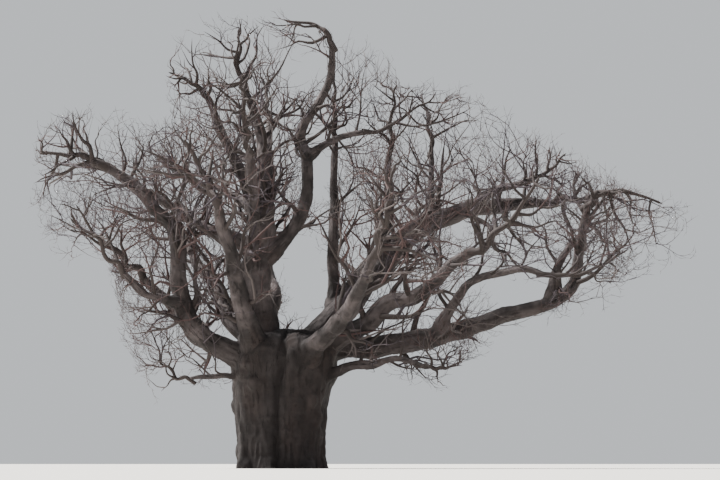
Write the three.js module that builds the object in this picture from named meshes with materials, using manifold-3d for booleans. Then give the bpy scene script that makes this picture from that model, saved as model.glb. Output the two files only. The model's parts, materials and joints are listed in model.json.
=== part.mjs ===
// A leafless baobab that stands alone: a stout trunk, dividing low down into arching boughs, each of
// which ends in a mass of bare twigs. Millimetres, +Z up. The origin is the centre of the flat cut at
// ground level. Seen from the front, along +Y, +X is to the right, where the crown reaches furthest.
import * as THREE from "three";
import { mergeVertices } from "three/addons/utils/BufferGeometryUtils.js";
import Module from "manifold-3d";

const wasm = await Module();
wasm.setup();

// The crown's limits: no twig passes them
const TREE_HEIGHT = 17200;
const CROWN_LEFT = -9700;
const CROWN_RIGHT = 15500;
const CROWN_FRONT = -9600;
const CROWN_BACK = 9600;
const LOWEST_TWIG = 1900;

// The trunk: [height, radius, shift to the right] from the ground to the crotch between the boughs
const TRUNK_PROFILE = [
  [0, 1660, 0], [300, 1600, 0], [1000, 1600, -10], [2000, 1670, -20], [2900, 1780, 20],
  [3600, 1900, 110], [4150, 1960, 200], [4600, 1820, 240], [4950, 1350, 240], [5130, 640, 240],
];
const TRUNK_SIDES = 36;
const TRUNK_LOBES = 7;
const LOBE_DEPTH = 0.035;
const FLARE_LOBE_DEPTH = 0.05;
const FLARE_HEIGHT = 900;
const LOBE_LEAN = 1600;

// Two columns have grown together into the trunk: where their creases run, in degrees round it, how
// deep they are at the ground and under the boughs, and their width
const CREASES = [97, -76];
const CREASE_DEPTH = [0.05, 0.15];
const CREASE_WIDTH = 13;
const CREASE_FULL_HEIGHT = 4000;

// The crown as seen from the front, at this distance and height of eye: [across, up] along its top and
// its underside, and [across, up, half width, half height] of each window of open sky in it
const VIEW_DISTANCE = 106000;
const EYE_HEIGHT = 200;
const CROWN_TOP = [
  [-9600, 9600], [-9300, 12600], [-8200, 13600], [-6200, 13600], [-5300, 12700], [-4500, 12800],
  [-4400, 15400], [-3700, 16200], [-2400, 16800], [-1200, 17150], [200, 17050], [2200, 16700],
  [3400, 15900], [4600, 14500], [6400, 14400], [7900, 13900], [8900, 12900], [10600, 12200],
  [11900, 11000], [13500, 10200], [15500, 9800],
];
const CROWN_UNDERSIDE = [
  [-9600, 9300], [-8200, 8500], [-6600, 7900], [-6100, 5400], [-5200, 3100], [-2500, 2900],
  [2500, 3900], [4700, 3500], [6300, 2900], [7700, 4700], [10600, 5900], [12300, 6500],
  [13500, 7400], [15500, 7900],
];
const OPEN_SKY = [
  [950, 7300, 1000, 1700], [1400, 10900, 650, 1250], [800, 15100, 800, 700],
  [6600, 9000, 450, 450], [8400, 6800, 1500, 550], [2900, 2700, 1300, 800], [-4900, 13900, 900, 900],
];

// Fits between neighbours
const GAP = 0.35;
const ROOM = 1.5 * GAP;
const TWIG_CLEARANCE = 25;
const TIP_CLEARANCE = 40;
const CELL_MARGIN = 0.035;

// Limbs: how finely a limb is made, and how it wavers
const LIMB_STEP = 780;
const KINK = 7;
const COLLAR_CLEARANCE = 60;
const COLLAR_SWELL = 1.16;
const THICK_BOUGH = 380;

// Boughs in the order that they leave the trunk or another bough. foot is the place inside the trunk
// where a bough starts, or along the share of the bough that carries it. Angles are in degrees:
// heading is the compass in plan, 0 to the right and 90 away, turn is how far it swings round by the
// tip, and pitch is the climb, from foot to tip. A split bough is two nodes, parted at the bend.
// crown is the space of its twigs beyond the tip: how far out and up its middle lies, and its
// half width and half height.
const LIMBS = [
  { name: "stem_middle", on: "trunk", foot: [-830, 0, 3700], heading: 0, turn: 0,
    pitch: [90, 91, 88, 84], length: 5600, radius: [740, 500] },
  { name: "bough_left_low", on: "trunk", foot: [-1150, -350, 4050], heading: 190, turn: -10,
    pitch: [12, 34, 72, 86, 64, 44, 24], length: 9600, radius: [430, 180], split: 0.62,
    crown: [1500, 200, 3100, 2500] },
  { name: "bough_left_side", on: "bough_left_low", along: 0.36, heading: 214, turn: 12,
    pitch: [6, 4, 30, 50], length: 3100, radius: [190, 110], crown: [1000, 900, 2700, 2200] },
  { name: "bough_left_rear", on: "trunk", foot: [-1000, 700, 3900], heading: 146, turn: 16,
    pitch: [14, 30, 48, 40], length: 6000, radius: [330, 160], crown: [1300, 900, 2900, 2500] },
  { name: "bough_left_lowest", on: "trunk", foot: [-1350, -250, 3350], heading: 192, turn: -20,
    pitch: [8, -3, -2], length: 2100, radius: [130, 80], crown: [700, 800, 1600, 1500] },
  { name: "bough_front_left", on: "trunk", foot: [-900, -900, 4350], heading: 243, turn: 8,
    pitch: [52, 60, 54, 45], length: 6300, radius: [400, 180], crown: [1400, 700, 3100, 2700] },
  { name: "bough_front", on: "trunk", foot: [800, -1100, 4000], heading: 300, turn: -12,
    pitch: [24, 20, 36, 46], length: 7000, radius: [420, 170], crown: [900, 1100, 3000, 2600] },
  { name: "bough_front_right", on: "trunk", foot: [1350, -500, 4200], heading: 335, turn: -14,
    pitch: [33, 27, 29, 26], length: 7600, radius: [400, 160], crown: [1300, 1000, 3000, 2600] },
  { name: "bough_right_drooping", on: "trunk", foot: [1400, -450, 3250], heading: 330, turn: -12,
    pitch: [26, 12, 2, -16], length: 4800, radius: [210, 100], crown: [700, 0, 1500, 1200] },
  { name: "bough_right_low", on: "trunk", foot: [1500, 50, 4480], heading: 351, turn: 6,
    pitch: [3, 2, 17, 15, 20, 74, 88], length: 12900, radius: [450, 150], split: 0.74,
    crown: [2300, 0, 3300, 2500] },
  { name: "bough_right_inner", on: "bough_right_low", along: 0.68, heading: 30, turn: 10,
    pitch: [76, 60, 36], length: 3200, radius: [190, 110], crown: [700, 900, 2500, 2100] },
  { name: "bough_right_arch", on: "bough_right_low", along: 0.34, heading: 334, turn: 8,
    pitch: [66, 50, 8, -20], length: 5400, radius: [220, 110], crown: [1500, 300, 2600, 2000] },
  { name: "bough_right_big", on: "trunk", foot: [1150, 500, 4350], heading: 14, turn: -4,
    pitch: [57, 54, 43, 34, 6, -2], length: 11200, radius: [600, 200], split: 0.66,
    crown: [1500, 100, 2900, 2300] },
  { name: "bough_right_outer", on: "bough_right_big", along: 0.74, heading: 336, turn: 10,
    pitch: [40, 22, 6], length: 2900, radius: [190, 110], crown: [1100, 700, 2600, 2000] },
  { name: "bough_right_upper", on: "bough_right_big", along: 0.38, heading: 10, turn: -40,
    pitch: [72, 88, 94], length: 4300, radius: [220, 120], crown: [200, 1500, 2600, 2300] },
  { name: "bough_right_fork", on: "bough_right_big", along: 0.62, heading: 60, turn: 40,
    pitch: [80, 72, 62], length: 3000, radius: [180, 100], crown: [800, 1200, 2700, 2100] },
  { name: "bough_rear_right", on: "trunk", foot: [800, 1000, 4250], heading: 56, turn: -6,
    pitch: [40, 42, 36, 30], length: 7600, radius: [430, 170], crown: [1400, 1000, 3200, 2700] },
  { name: "bough_upright", on: "bough_right_big", along: 0.13, heading: 60, turn: 30,
    pitch: [68, 94, 96, 78, 84], length: 6900, radius: [260, 130], crown: [0, 1400, 2300, 2100] },
  { name: "bough_rear", on: "trunk", foot: [-380, 1250, 4250], heading: 93, turn: -3,
    pitch: [44, 44, 36, 30], length: 7000, radius: [420, 170], crown: [1400, 1000, 3100, 2700] },
  { name: "bough_rear_left", on: "trunk", foot: [-950, 900, 4050], heading: 128, turn: -6,
    pitch: [42, 52, 44, 36], length: 6400, radius: [350, 160], crown: [1300, 900, 3000, 2600] },
  { name: "bough_left_high", on: "stem_middle", along: 0.74, heading: 168, turn: 4,
    pitch: [46, 22, 30, 40], length: 4900, radius: [250, 130], crown: [1300, 700, 2900, 2300] },
  { name: "fork_front", on: "stem_middle", along: 0.82, heading: 256, turn: 10,
    pitch: [50, 58, 46], length: 4300, radius: [270, 130], crown: [1100, 1000, 2900, 2400] },
  { name: "fork_right", on: "stem_middle", along: 0.72, heading: 345, turn: 0,
    pitch: [36, 42, 56, 76, 98, 124, 36, 50, 88, 104], length: 9300, radius: [290, 120], split: 0.53,
    crown: [-700, 300, 2900, 1900] },
  { name: "fork_right_out", on: "fork_right", along: 0.5, heading: 20, turn: -10,
    pitch: [44, 20, 6], length: 2700, radius: [170, 100], crown: [1300, 700, 2800, 2300] },
  { name: "fork_left", on: "stem_middle", along: 0.9, heading: 198, turn: -14,
    pitch: [70, 72, 62, 76], length: 5300, radius: [290, 130], crown: [900, 600, 2600, 2100] },
  { name: "fork_left_inner", on: "fork_left", along: 0.2, heading: 150, turn: -10,
    pitch: [40, 22, 12], length: 2800, radius: [170, 100], crown: [1000, 600, 2600, 2200] },
  { name: "fork_rear", on: "stem_middle", along: 0.93, heading: 75, turn: 20,
    pitch: [62, 64, 46, 40], length: 5200, radius: [290, 130], crown: [1200, 900, 2900, 2500] },
  { name: "fork_middle", on: "stem_middle", along: 1, heading: 60, turn: 110,
    pitch: [80, 84, 76, 68], length: 5100, radius: [330, 140], crown: [100, 1100, 2700, 2100] },
];

// Twigs of a crown space: the stem, its branches, and their twigs
const TWIG_LEVELS = [
  { children: 7, from: 0.05, steps: 4, angle: [46, 88], reach: [0.86, 1] },
  { children: 3, from: 0.25, steps: 2, angle: [34, 60], reach: [0.7, 0.96] },
  { children: 0, from: 0, steps: 1, angle: [0, 0], reach: [0, 0] },
];
const STEM_REACH = 0.85;
const STEM_LIFT = 0.15;
const STEM_TIP_SHARE = 0.45;
const CHILD_THICKNESS = 0.68;
const TWIG_TAPER = 0.6;
const FINEST_RADIUS = 22;
const TWIG_LIFT = 0.16;
const TWIG_WAVER = 0.2;
const SHORTEST_TWIG = 520;
const LONGEST_TWIG = 3200;
const GOLDEN_ANGLE = 137.5;

const BARK = new THREE.MeshStandardMaterial({ color: 0x6b5c55, roughness: 0.85, metalness: 0 });
const TRUNK_BARK = new THREE.MeshStandardMaterial({ color: 0x5a4d47, roughness: 0.9, metalness: 0 });
const TWIG_BARK = new THREE.MeshStandardMaterial({ color: 0x6f6266, roughness: 0.9, metalness: 0 });

const UP = new THREE.Vector3(0, 0, 1);
const radians = THREE.MathUtils.degToRad;

// A number from 0 to 1 that depends only on a key and on what it is drawn for, so that adding finer
// twigs never changes the coarser ones
function draw(key, purpose) {
  let h = Math.imul(key ^ Math.imul(purpose + 1, 0x9e3779b1), 0x85ebca6b);
  h = Math.imul(h ^ (h >>> 15), 0xc2b2ae35);
  return ((h ^ (h >>> 13)) >>> 0) / 2 ** 32;
}

function between(key, purpose, [low, high]) {
  return low + (high - low) * draw(key, purpose);
}

function childKey(key, index) {
  return Math.imul(key ^ Math.imul(index + 1, 0x27d4eb2f), 0x165667b1) >>> 0;
}

function direction(heading, pitch) {
  const h = radians(heading), p = radians(pitch);
  return new THREE.Vector3(Math.cos(p) * Math.cos(h), Math.cos(p) * Math.sin(h), Math.sin(p));
}

// The value of a list of evenly spaced numbers at a share from 0 to 1
function alongList(list, share) {
  const place = Math.min(share, 1) * (list.length - 1);
  const i = Math.min(Math.floor(place), list.length - 2);
  return list[i] + (list[i + 1] - list[i]) * (place - i);
}

// A closed mesh's geometry as a solid, without the empty triangles that it has on an axis
function solidOf(geometry) {
  const bare = geometry.clone();
  bare.deleteAttribute("normal");
  bare.deleteAttribute("uv");
  const merged = mergeVertices(bare, 1e-3);
  const index = merged.index.array;
  const triangles = [];
  for (let i = 0; i < index.length; i += 3) {
    const [a, b, c] = index.slice(i, i + 3);
    if (a !== b && b !== c && c !== a) triangles.push(a, b, c);
  }
  return new wasm.Manifold(new wasm.Mesh({
    numProp: 3,
    vertProperties: merged.attributes.position.array,
    triVerts: new Uint32Array(triangles),
  }));
}

function geometryOf(solid) {
  const { vertProperties, triVerts } = solid.getMesh();
  return new THREE.BufferGeometry()
    .setAttribute("position", new THREE.BufferAttribute(new Float32Array(vertProperties), 3))
    .setIndex(new THREE.BufferAttribute(new Uint32Array(triVerts), 1));
}

// The largest body of a solid: scraps that the cutting left loose are dropped, and a hollow that the
// joining sealed is filled
function largestBody(solid) {
  return solid.decompose().sort((a, b) => b.volume() - a.volume())[0];
}

// Frames carried along a path without twist: ahead, and two unit vectors square to it
function framesAlong(points, firstAhead) {
  const frames = [];
  let side = null;
  points.forEach((point, i) => {
    const ahead = i === 0 && firstAhead ? firstAhead.clone() : points[Math.min(i + 1, points.length - 1)]
      .clone().sub(points[Math.max(i - 1, 0)]).normalize();
    if (!side) side = Math.abs(ahead.x) > 0.8 ? new THREE.Vector3(0, 1, 0) : new THREE.Vector3(1, 0, 0);
    side = side.clone().addScaledVector(ahead, -side.dot(ahead)).normalize();
    frames.push({ ahead, side, other: new THREE.Vector3().crossVectors(ahead, side) });
  });
  return frames;
}

// A closed tapering tube: a cylinder whose rings are laid along the path. A last radius of 0 is a point.
function tube(points, radii, frames, sides) {
  const steps = points.length - 1;
  const geometry = new THREE.CylinderGeometry(radii[steps] > 0 ? 1 : 0, 1, 1, sides, steps);
  const position = geometry.attributes.position;
  for (let i = 0; i < position.count; i++) {
    const ring = Math.round((position.getY(i) + 0.5) * steps);
    const { side, other } = frames[ring];
    const [x, z] = [position.getX(i), position.getZ(i)];
    const scale = radii[ring] / (Math.hypot(x, z) || 1);
    const place = points[ring].clone().addScaledVector(side, -x * scale).addScaledVector(other, z * scale);
    position.setXYZ(i, place.x, place.y, place.z);
  }
  return solidOf(geometry);
}

// The path of a limb: it steps forward while its climb follows the pitch list, its heading swings
// round by the turn, and both waver
function limbPath(limb, start, key) {
  const steps = Math.max(5, Math.round(limb.length / LIMB_STEP));
  const points = [start.clone()];
  for (let i = 0; i < steps; i++) {
    const t = (i + 0.5) / steps;
    const waver = KINK * Math.min(1, 2 * t);
    const heading = limb.heading + limb.turn * t
      + waver * Math.sin(2 * Math.PI * (1.7 * t + draw(key, 1)));
    const pitch = alongList(limb.pitch, t)
      + waver * Math.sin(2 * Math.PI * (2.3 * t + draw(key, 2)));
    points.push(points[i].clone().addScaledVector(direction(heading, pitch), limb.length / steps));
  }
  return points;
}

function limbRadius(limb, share) {
  return limb.radius[1] + (limb.radius[0] - limb.radius[1]) * Math.max(0, 1 - share) ** 0.85;
}

// The place, radius and frame at a share of a limb
function station(limb, share) {
  const place = Math.min(share, 1) * (limb.points.length - 1);
  const i = Math.min(Math.floor(place), limb.points.length - 2);
  const [here, next] = [limb.frames[i], limb.frames[i + 1]];
  const ahead = here.ahead.clone().lerp(next.ahead, place - i).normalize();
  const side = here.side.clone().lerp(next.side, place - i);
  side.addScaledVector(ahead, -side.dot(ahead)).normalize();
  return {
    point: limb.points[i].clone().lerp(limb.points[i + 1], place - i),
    radius: limbRadius(limb, share),
    frame: { ahead, side, other: new THREE.Vector3().crossVectors(ahead, side) },
  };
}

// The limbs with their paths, each from its foot in the trunk or on the bough that carries it
function laidOut() {
  const laid = new Map();
  LIMBS.forEach((limb, index) => {
    const key = childKey(1009, index);
    const start = limb.on === "trunk" ? new THREE.Vector3(...limb.foot)
      : station(laid.get(limb.on), limb.along).point;
    const points = limbPath(limb, start, key);
    const placed = {
      ...limb, key, points,
      frames: framesAlong(points),
      radii: points.map((_, i) => limbRadius(limb, i / (points.length - 1))),
      sides: limb.radius[0] > THICK_BOUGH ? 8 : 6,
    };
    if (limb.on === "trunk") placed.collarEnd = collarShare(placed);
    laid.set(limb.name, placed);
  });
  return laid;
}

// A stretch of a limb between two shares of it. The first ring can be moved on, the last ring too, and
// the whole made thicker.
function stretch(limb, from, to, { first = 0, last = 0, grown = 0 } = {}) {
  const foot = station(limb, from);
  foot.point.addScaledVector(foot.frame.ahead, first);
  const stations = [foot];
  const steps = limb.points.length - 1;
  for (let i = 1; i < steps; i++) {
    const share = i / steps;
    if (share > from + 0.3 / steps && share < to - 0.3 / steps) stations.push(station(limb, share));
  }
  const tip = station(limb, to);
  tip.point.addScaledVector(tip.frame.ahead, last);
  stations.push(tip);
  return tube(stations.map((s) => s.point), stations.map((s) => s.radius + grown),
    stations.map((s) => s.frame), limb.sides);
}

// The barrel of the trunk, with lobes that deepen into the root flare
function trunkBarrel() {
  const [topHeight, , topShift] = TRUNK_PROFILE.at(-1);
  const rows = [[0, 0, 0], ...TRUNK_PROFILE, [topHeight + 60, 0, topShift]];
  const outline = rows.map(([height, radius]) => new THREE.Vector2(radius, height));
  const geometry = new THREE.LatheGeometry(outline, TRUNK_SIDES);
  const position = geometry.attributes.position;
  for (let i = 0; i < position.count; i++) {
    const [height, radius, shift] = rows[i % rows.length];
    const angle = Math.atan2(position.getZ(i), position.getX(i));
    const flare = Math.max(0, 1 - height / FLARE_HEIGHT);
    const depth = LOBE_DEPTH + FLARE_LOBE_DEPTH * flare;
    const lobe = depth * Math.cos(TRUNK_LOBES * angle + height / LOBE_LEAN);
    const lobed = radius * (1 + lobe - creased(angle, height));
    position.setXYZ(i, lobed * Math.cos(angle) + shift, -lobed * Math.sin(angle), height);
  }
  return solidOf(geometry);
}

// The share of the trunk's radius that the creases between its two columns take away
function creased(angle, height) {
  const depth = alongList(CREASE_DEPTH, Math.min(1, height / CREASE_FULL_HEIGHT));
  return CREASES.reduce((total, crease) => {
    const away = THREE.MathUtils.euclideanModulo(THREE.MathUtils.radToDeg(angle) - crease + 180, 360) - 180;
    return total + depth * Math.exp(-((away / CREASE_WIDTH) ** 2));
  }, 0);
}

// How wide the barrel is at a height, at the most
function barrelRadius(height) {
  const above = TRUNK_PROFILE.findIndex(([level]) => level > height);
  if (above < 1) return 0;
  const [lower, upper] = [TRUNK_PROFILE[above - 1], TRUNK_PROFILE[above]];
  const t = (height - lower[0]) / (upper[0] - lower[0]);
  return (lower[1] + (upper[1] - lower[1]) * t) * (1 + LOBE_DEPTH);
}

// The share of a bough where it is clear of the barrel all round: its collar ends there
function collarShare(limb) {
  const shift = TRUNK_PROFILE.at(-1)[2];
  let share = 0;
  for (let clear = false; !clear; share += 0.005) {
    const { point, radius, frame } = station(limb, share);
    clear = [0, 1, 2, 3, 4, 5, 6, 7].every((i) => {
      const rim = point.clone().addScaledVector(frame.side, radius * Math.cos(i * Math.PI / 4))
        .addScaledVector(frame.other, radius * Math.sin(i * Math.PI / 4));
      return Math.hypot(rim.x - shift, rim.y) > barrelRadius(rim.z) + COLLAR_CLEARANCE;
    });
  }
  return share;
}

// The first stretch of a bough, swelling where it leaves the trunk: it is part of the trunk
function collar(limb, grown = 0) {
  const stations = [0, 0.5, 1].map((part) => station(limb, part * limb.collarEnd));
  stations[2].point.addScaledVector(stations[2].frame.ahead, grown);
  const radii = stations.map((s, i) => s.radius * COLLAR_SWELL ** (2 - i) + grown);
  return tube(stations.map((s) => s.point), radii, stations.map((s) => s.frame), limb.sides);
}

// The stretches of a limb that are nodes of their own: their name and the shares that they span
function partsOf(limb) {
  const start = limb.on === "trunk" ? limb.collarEnd : 0;
  return limb.split
    ? [[`${limb.name}_lower`, start, limb.split], [`${limb.name}_upper`, limb.split, 1]]
    : [[limb.name, start, 1]];
}

// What a limb takes up, a gap wider all round, to be cut out of the ones that leave it
function roomFor(limb) {
  const wider = { first: -ROOM, last: ROOM, grown: ROOM };
  return wasm.Manifold.union(partsOf(limb).map(([, from, to]) => stretch(limb, from, to, wider)));
}

// The space that each mass of twigs keeps to, beyond the tip of its bough
function twigSpaces(laid) {
  return [...laid.values()].filter((limb) => limb.crown).map((limb) => {
    const [out, up, width, height] = limb.crown;
    const tip = station(limb, 1);
    const middle = tip.point.clone().addScaledVector(direction(limb.heading + limb.turn, 0), out);
    const size = new THREE.Vector3(width, width, height);
    return { limb, tip, middle: middle.addScaledVector(UP, up), size };
  });
}

function depthInSpace(point, space) {
  return point.clone().sub(space.middle).divide(space.size).length();
}

// A point belongs to a space where it is inside it and nearer to its middle than to any other's,
// within the crown's limits and outline and out of the open sky
function belongs(point, space) {
  const own = depthInSpace(point, space);
  return own < 1
    && point.x > CROWN_LEFT && point.x < CROWN_RIGHT
    && point.y > CROWN_FRONT && point.y < CROWN_BACK
    && point.z > LOWEST_TWIG && point.z < TREE_HEIGHT - TIP_CLEARANCE
    && !inOpenSky(point)
    && spaces.every((other) => other === space || own < depthInSpace(point, other) - CELL_MARGIN);
}

// The height of an outline above a place across
function heightAt(outline, across) {
  const after = outline.findIndex(([x]) => x > across);
  if (after < 0) return outline.at(-1)[1];
  const [[x0, z0], [x1, z1]] = [outline[Math.max(0, after - 1)], outline[after]];
  return z0 + (z1 - z0) * Math.max(0, across - x0) / (x1 - x0 || 1);
}

function inOpenSky(point) {
  const nearer = VIEW_DISTANCE / (VIEW_DISTANCE + point.y);
  const across = point.x * nearer;
  const up = EYE_HEIGHT + (point.z - EYE_HEIGHT) * nearer;
  return up > heightAt(CROWN_TOP, across) || up < heightAt(CROWN_UNDERSIDE, across)
    || OPEN_SKY.some(([x, z, halfWidth, halfHeight]) =>
      Math.hypot((across - x) / halfWidth, (up - z) / halfHeight) < 1);
}

// How far a point can go in a direction before it leaves its space
function roomAhead(point, ahead, space) {
  let room = 0;
  while (room < 6000 && belongs(point.clone().addScaledVector(ahead, room + 100), space)) room += 100;
  return room;
}

// The least distance between two straight lengths
function apart(a, b, c, d) {
  const u = b.clone().sub(a), v = d.clone().sub(c), w = a.clone().sub(c);
  const uu = u.dot(u), uv = u.dot(v), vv = v.dot(v), uw = u.dot(w), vw = v.dot(w);
  const clamp = (value) => Math.min(1, Math.max(0, value));
  const bottom = uu * vv - uv * uv;
  let s = bottom > 1e-6 ? clamp((uv * vw - vv * uw) / bottom) : 0;
  const t = clamp((uv * s + vw) / vv);
  s = clamp((uv * t - uw) / uu);
  return w.addScaledVector(u, s).addScaledVector(v, -t).length();
}

// Whether a twig stays clear of every limb and of the trunk
function clearOfLimbs(points, radii) {
  return obstacles.every(({ from, to, radius }) => points.slice(1).every((end, i) =>
    apart(points[i], end, from, to) > radius + Math.max(radii[i], radii[i + 1]) + TWIG_CLEARANCE));
}

function obstacleLengths(laid) {
  const lengths = [{
    from: new THREE.Vector3(0, 0, 0), to: new THREE.Vector3(200, 0, 4300), radius: 2100,
  }];
  for (const limb of laid.values()) {
    for (let i = 0; i + 1 < limb.points.length; i++) {
      lengths.push({ from: limb.points[i], to: limb.points[i + 1], radius: limb.radii[i] });
    }
  }
  return lengths;
}

// The stem of a mass: it leaves the tip of its bough a gap clear and bends over through the middle
// of its space to the far side
function stemTwig(space) {
  const { tip, middle } = space;
  const start = tip.point.clone().addScaledVector(tip.frame.ahead, GAP);
  const onward = middle.clone().sub(start).normalize().addScaledVector(UP, STEM_LIFT).normalize();
  const end = middle.clone().addScaledVector(onward, STEM_REACH * roomAhead(middle, onward, space));
  const bend = start.clone().addScaledVector(tip.frame.ahead, 0.4 * start.distanceTo(end));
  const curve = new THREE.QuadraticBezierCurve3(start, bend, end);
  const points = curve.getPoints(TWIG_LEVELS[0].steps);
  const radii = points.map((_, i) => {
    const share = i / (points.length - 1);
    return tip.radius * 0.97 * (1 - share) + tip.radius * STEM_TIP_SHARE * share;
  });
  return {
    points, radii, key: childKey(space.limb.key, 77), level: 0,
    frames: framesAlong(points, tip.frame.ahead),
  };
}

// A twig's branch: it leaves at an angle, on a side that the golden angle deals out, lifts a little,
// and goes most of the way to the edge of the mass's space
function branchOf(twig, index, space) {
  const level = TWIG_LEVELS[twig.level];
  const key = childKey(twig.key, index);
  const share = level.from + (1 - level.from) * (index + 0.2 + 0.6 * draw(key, 1)) / level.children;
  const place = share * (twig.points.length - 1);
  const i = Math.min(Math.floor(place), twig.points.length - 2);
  const start = twig.points[i].clone().lerp(twig.points[i + 1], place - i);
  const { side, other } = twig.frames[i];
  const ahead = twig.points[i + 1].clone().sub(twig.points[i]).normalize();
  const round = radians(GOLDEN_ANGLE * index + 360 * draw(twig.key, 2));
  const out = radians(between(key, 3, level.angle));
  const sideways = side.clone().multiplyScalar(Math.cos(round)).addScaledVector(other, Math.sin(round));
  const way = ahead.multiplyScalar(Math.cos(out)).addScaledVector(sideways, Math.sin(out))
    .addScaledVector(UP, TWIG_LIFT).normalize();
  const length = between(key, 4, level.reach) * Math.min(roomAhead(start, way, space), LONGEST_TWIG);
  const thickness = CHILD_THICKNESS * (twig.radii[i] + (twig.radii[i + 1] - twig.radii[i]) * (place - i));
  return { start, way, length, key, radius: Math.max(thickness, FINEST_RADIUS), level: twig.level + 1 };
}

// The path of a branch, with its waver, or nothing where it is too short, leaves its space or
// touches a limb
function grown(branch, space) {
  const { steps } = TWIG_LEVELS[branch.level];
  for (const share of [1, 0.7, 0.5]) {
    const length = branch.length * share;
    if (length < SHORTEST_TWIG) return null;
    const points = [branch.start];
    let way = branch.way;
    for (let i = 0; i < steps; i++) {
      points.push(points[i].clone().addScaledVector(way, length / steps));
      const waver = new THREE.Vector3(draw(branch.key, 10 + i) - 0.5, draw(branch.key, 20 + i) - 0.5,
        draw(branch.key, 30 + i) - 0.3);
      way = way.clone().addScaledVector(waver, 2 * TWIG_WAVER).normalize();
    }
    const radii = points.map((_, i) => branch.radius * (1 - i / steps) ** TWIG_TAPER);
    if (points.slice(1).every((point) => belongs(point, space)) && clearOfLimbs(points, radii)) {
      return { ...branch, points, radii, frames: framesAlong(points) };
    }
  }
  return null;
}

// All the twigs of a mass, fused: the stem, its branches and their twigs
function twigMass(space) {
  const twigs = [stemTwig(space)];
  for (const twig of twigs) {
    const { children } = TWIG_LEVELS[twig.level];
    for (let index = 0; index < children; index++) {
      const branch = grown(branchOf(twig, index, space), space);
      if (branch) twigs.push(branch);
    }
  }
  const solids = twigs.map((twig) => {
    const { points, radii, frames, level } = twig;
    return tube(points, radii, frames, level === 0 ? 4 : 3);
  });
  return largestBody(wasm.Manifold.union(solids)).simplify(0.1);
}

const laid = laidOut();
const spaces = twigSpaces(laid);
const obstacles = obstacleLengths(laid);
const trunkBoughs = [...laid.values()].filter((limb) => limb.on === "trunk");
const group = new THREE.Group();

function addNode(name, solid, material) {
  const mesh = new THREE.Mesh(geometryOf(solid), material);
  mesh.name = name;
  group.add(mesh);
}

const collars = trunkBoughs.map((limb) => collar(limb));
addNode("trunk", largestBody(wasm.Manifold.union([trunkBarrel(), ...collars])), TRUNK_BARK);

// Each bough from the trunk starts a gap beyond its collar, and one on another bough at that bough's
// middle line. The collars or the bough that carries it, and the earlier boughs from there, are cut
// out of it, a gap wider.
const earlier = [];
for (const limb of laid.values()) {
  const onTrunk = limb.on === "trunk";
  const bearers = onTrunk ? trunkBoughs.filter((other) => other !== limb).map((other) => collar(other, ROOM))
    : [roomFor(laid.get(limb.on))];
  const neighbours = earlier.filter((other) => other.on === limb.on).map(roomFor);
  const room = wasm.Manifold.union([...bearers, ...neighbours]);
  partsOf(limb).forEach(([name, from, to], i) => {
    const whole = stretch(limb, from, to, { first: onTrunk || i > 0 ? GAP : 0 });
    addNode(name, largestBody(whole.subtract(room)), BARK);
  });
  earlier.push(limb);
}

for (const space of spaces) {
  addNode(`twigs_${space.limb.name.replace("bough_", "")}`, twigMass(space), TWIG_BARK);
}

export default group;
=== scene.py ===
# %% [markdown]
# # A leafless baobab
#
# A baobab drops its leaves in the dry season and shows what carries them: a trunk like a barrel, a few
# stout boughs that divide low down, and a haze of crooked twigs. The CAD part holds the plain shape:
# one solid for the trunk, one for each bough and one for each mass of twigs. This script grows the
# same tree again with the same rule, so that every limb lies where its solid lies, and gives it what
# the solids leave out: limbs that flow into each other, folds in the bark, and far finer twigs.

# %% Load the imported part
import functools
import itertools
import json
import math

import bmesh
import bpy
import numpy as np
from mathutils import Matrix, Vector

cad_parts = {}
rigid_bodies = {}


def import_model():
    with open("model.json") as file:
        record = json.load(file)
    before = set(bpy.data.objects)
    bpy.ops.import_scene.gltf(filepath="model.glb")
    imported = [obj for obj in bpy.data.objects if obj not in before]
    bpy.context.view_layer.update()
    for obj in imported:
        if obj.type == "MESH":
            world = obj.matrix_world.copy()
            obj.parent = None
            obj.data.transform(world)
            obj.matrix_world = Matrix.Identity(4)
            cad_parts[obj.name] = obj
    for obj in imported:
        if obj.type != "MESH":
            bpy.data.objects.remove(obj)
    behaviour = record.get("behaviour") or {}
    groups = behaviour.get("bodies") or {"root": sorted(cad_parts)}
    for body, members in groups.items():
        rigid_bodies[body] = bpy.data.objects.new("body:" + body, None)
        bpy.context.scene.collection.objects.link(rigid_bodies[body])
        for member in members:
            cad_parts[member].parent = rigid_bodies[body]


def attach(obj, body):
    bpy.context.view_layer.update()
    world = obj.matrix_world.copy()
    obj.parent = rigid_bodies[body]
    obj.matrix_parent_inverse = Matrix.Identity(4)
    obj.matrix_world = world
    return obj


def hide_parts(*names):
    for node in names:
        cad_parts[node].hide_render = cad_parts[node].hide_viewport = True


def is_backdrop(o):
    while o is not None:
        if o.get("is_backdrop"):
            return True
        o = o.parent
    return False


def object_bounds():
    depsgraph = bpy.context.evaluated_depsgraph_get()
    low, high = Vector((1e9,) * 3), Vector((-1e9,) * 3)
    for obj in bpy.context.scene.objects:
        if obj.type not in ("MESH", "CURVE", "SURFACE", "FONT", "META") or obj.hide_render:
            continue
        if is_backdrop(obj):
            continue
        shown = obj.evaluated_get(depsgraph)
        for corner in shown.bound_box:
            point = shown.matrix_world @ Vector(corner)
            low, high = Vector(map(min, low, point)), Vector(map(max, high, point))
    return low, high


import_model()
cad_low, cad_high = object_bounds()
print("the CAD part reaches from", [round(v, 2) for v in cad_low], "to", [round(v, 2) for v in cad_high])

# %% [markdown]
# ## Camera
#
# A tree this size is photographed from far off, so its far side looks nearly as large as its near
# side. The eye stands 106 m in front of the trunk and hardly higher than its foot, and a long lens
# brings the tree close. The camera could shift its lens to keep the trunk upright, but from so far
# off a tilt of a few degrees does the same without one.

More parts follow.
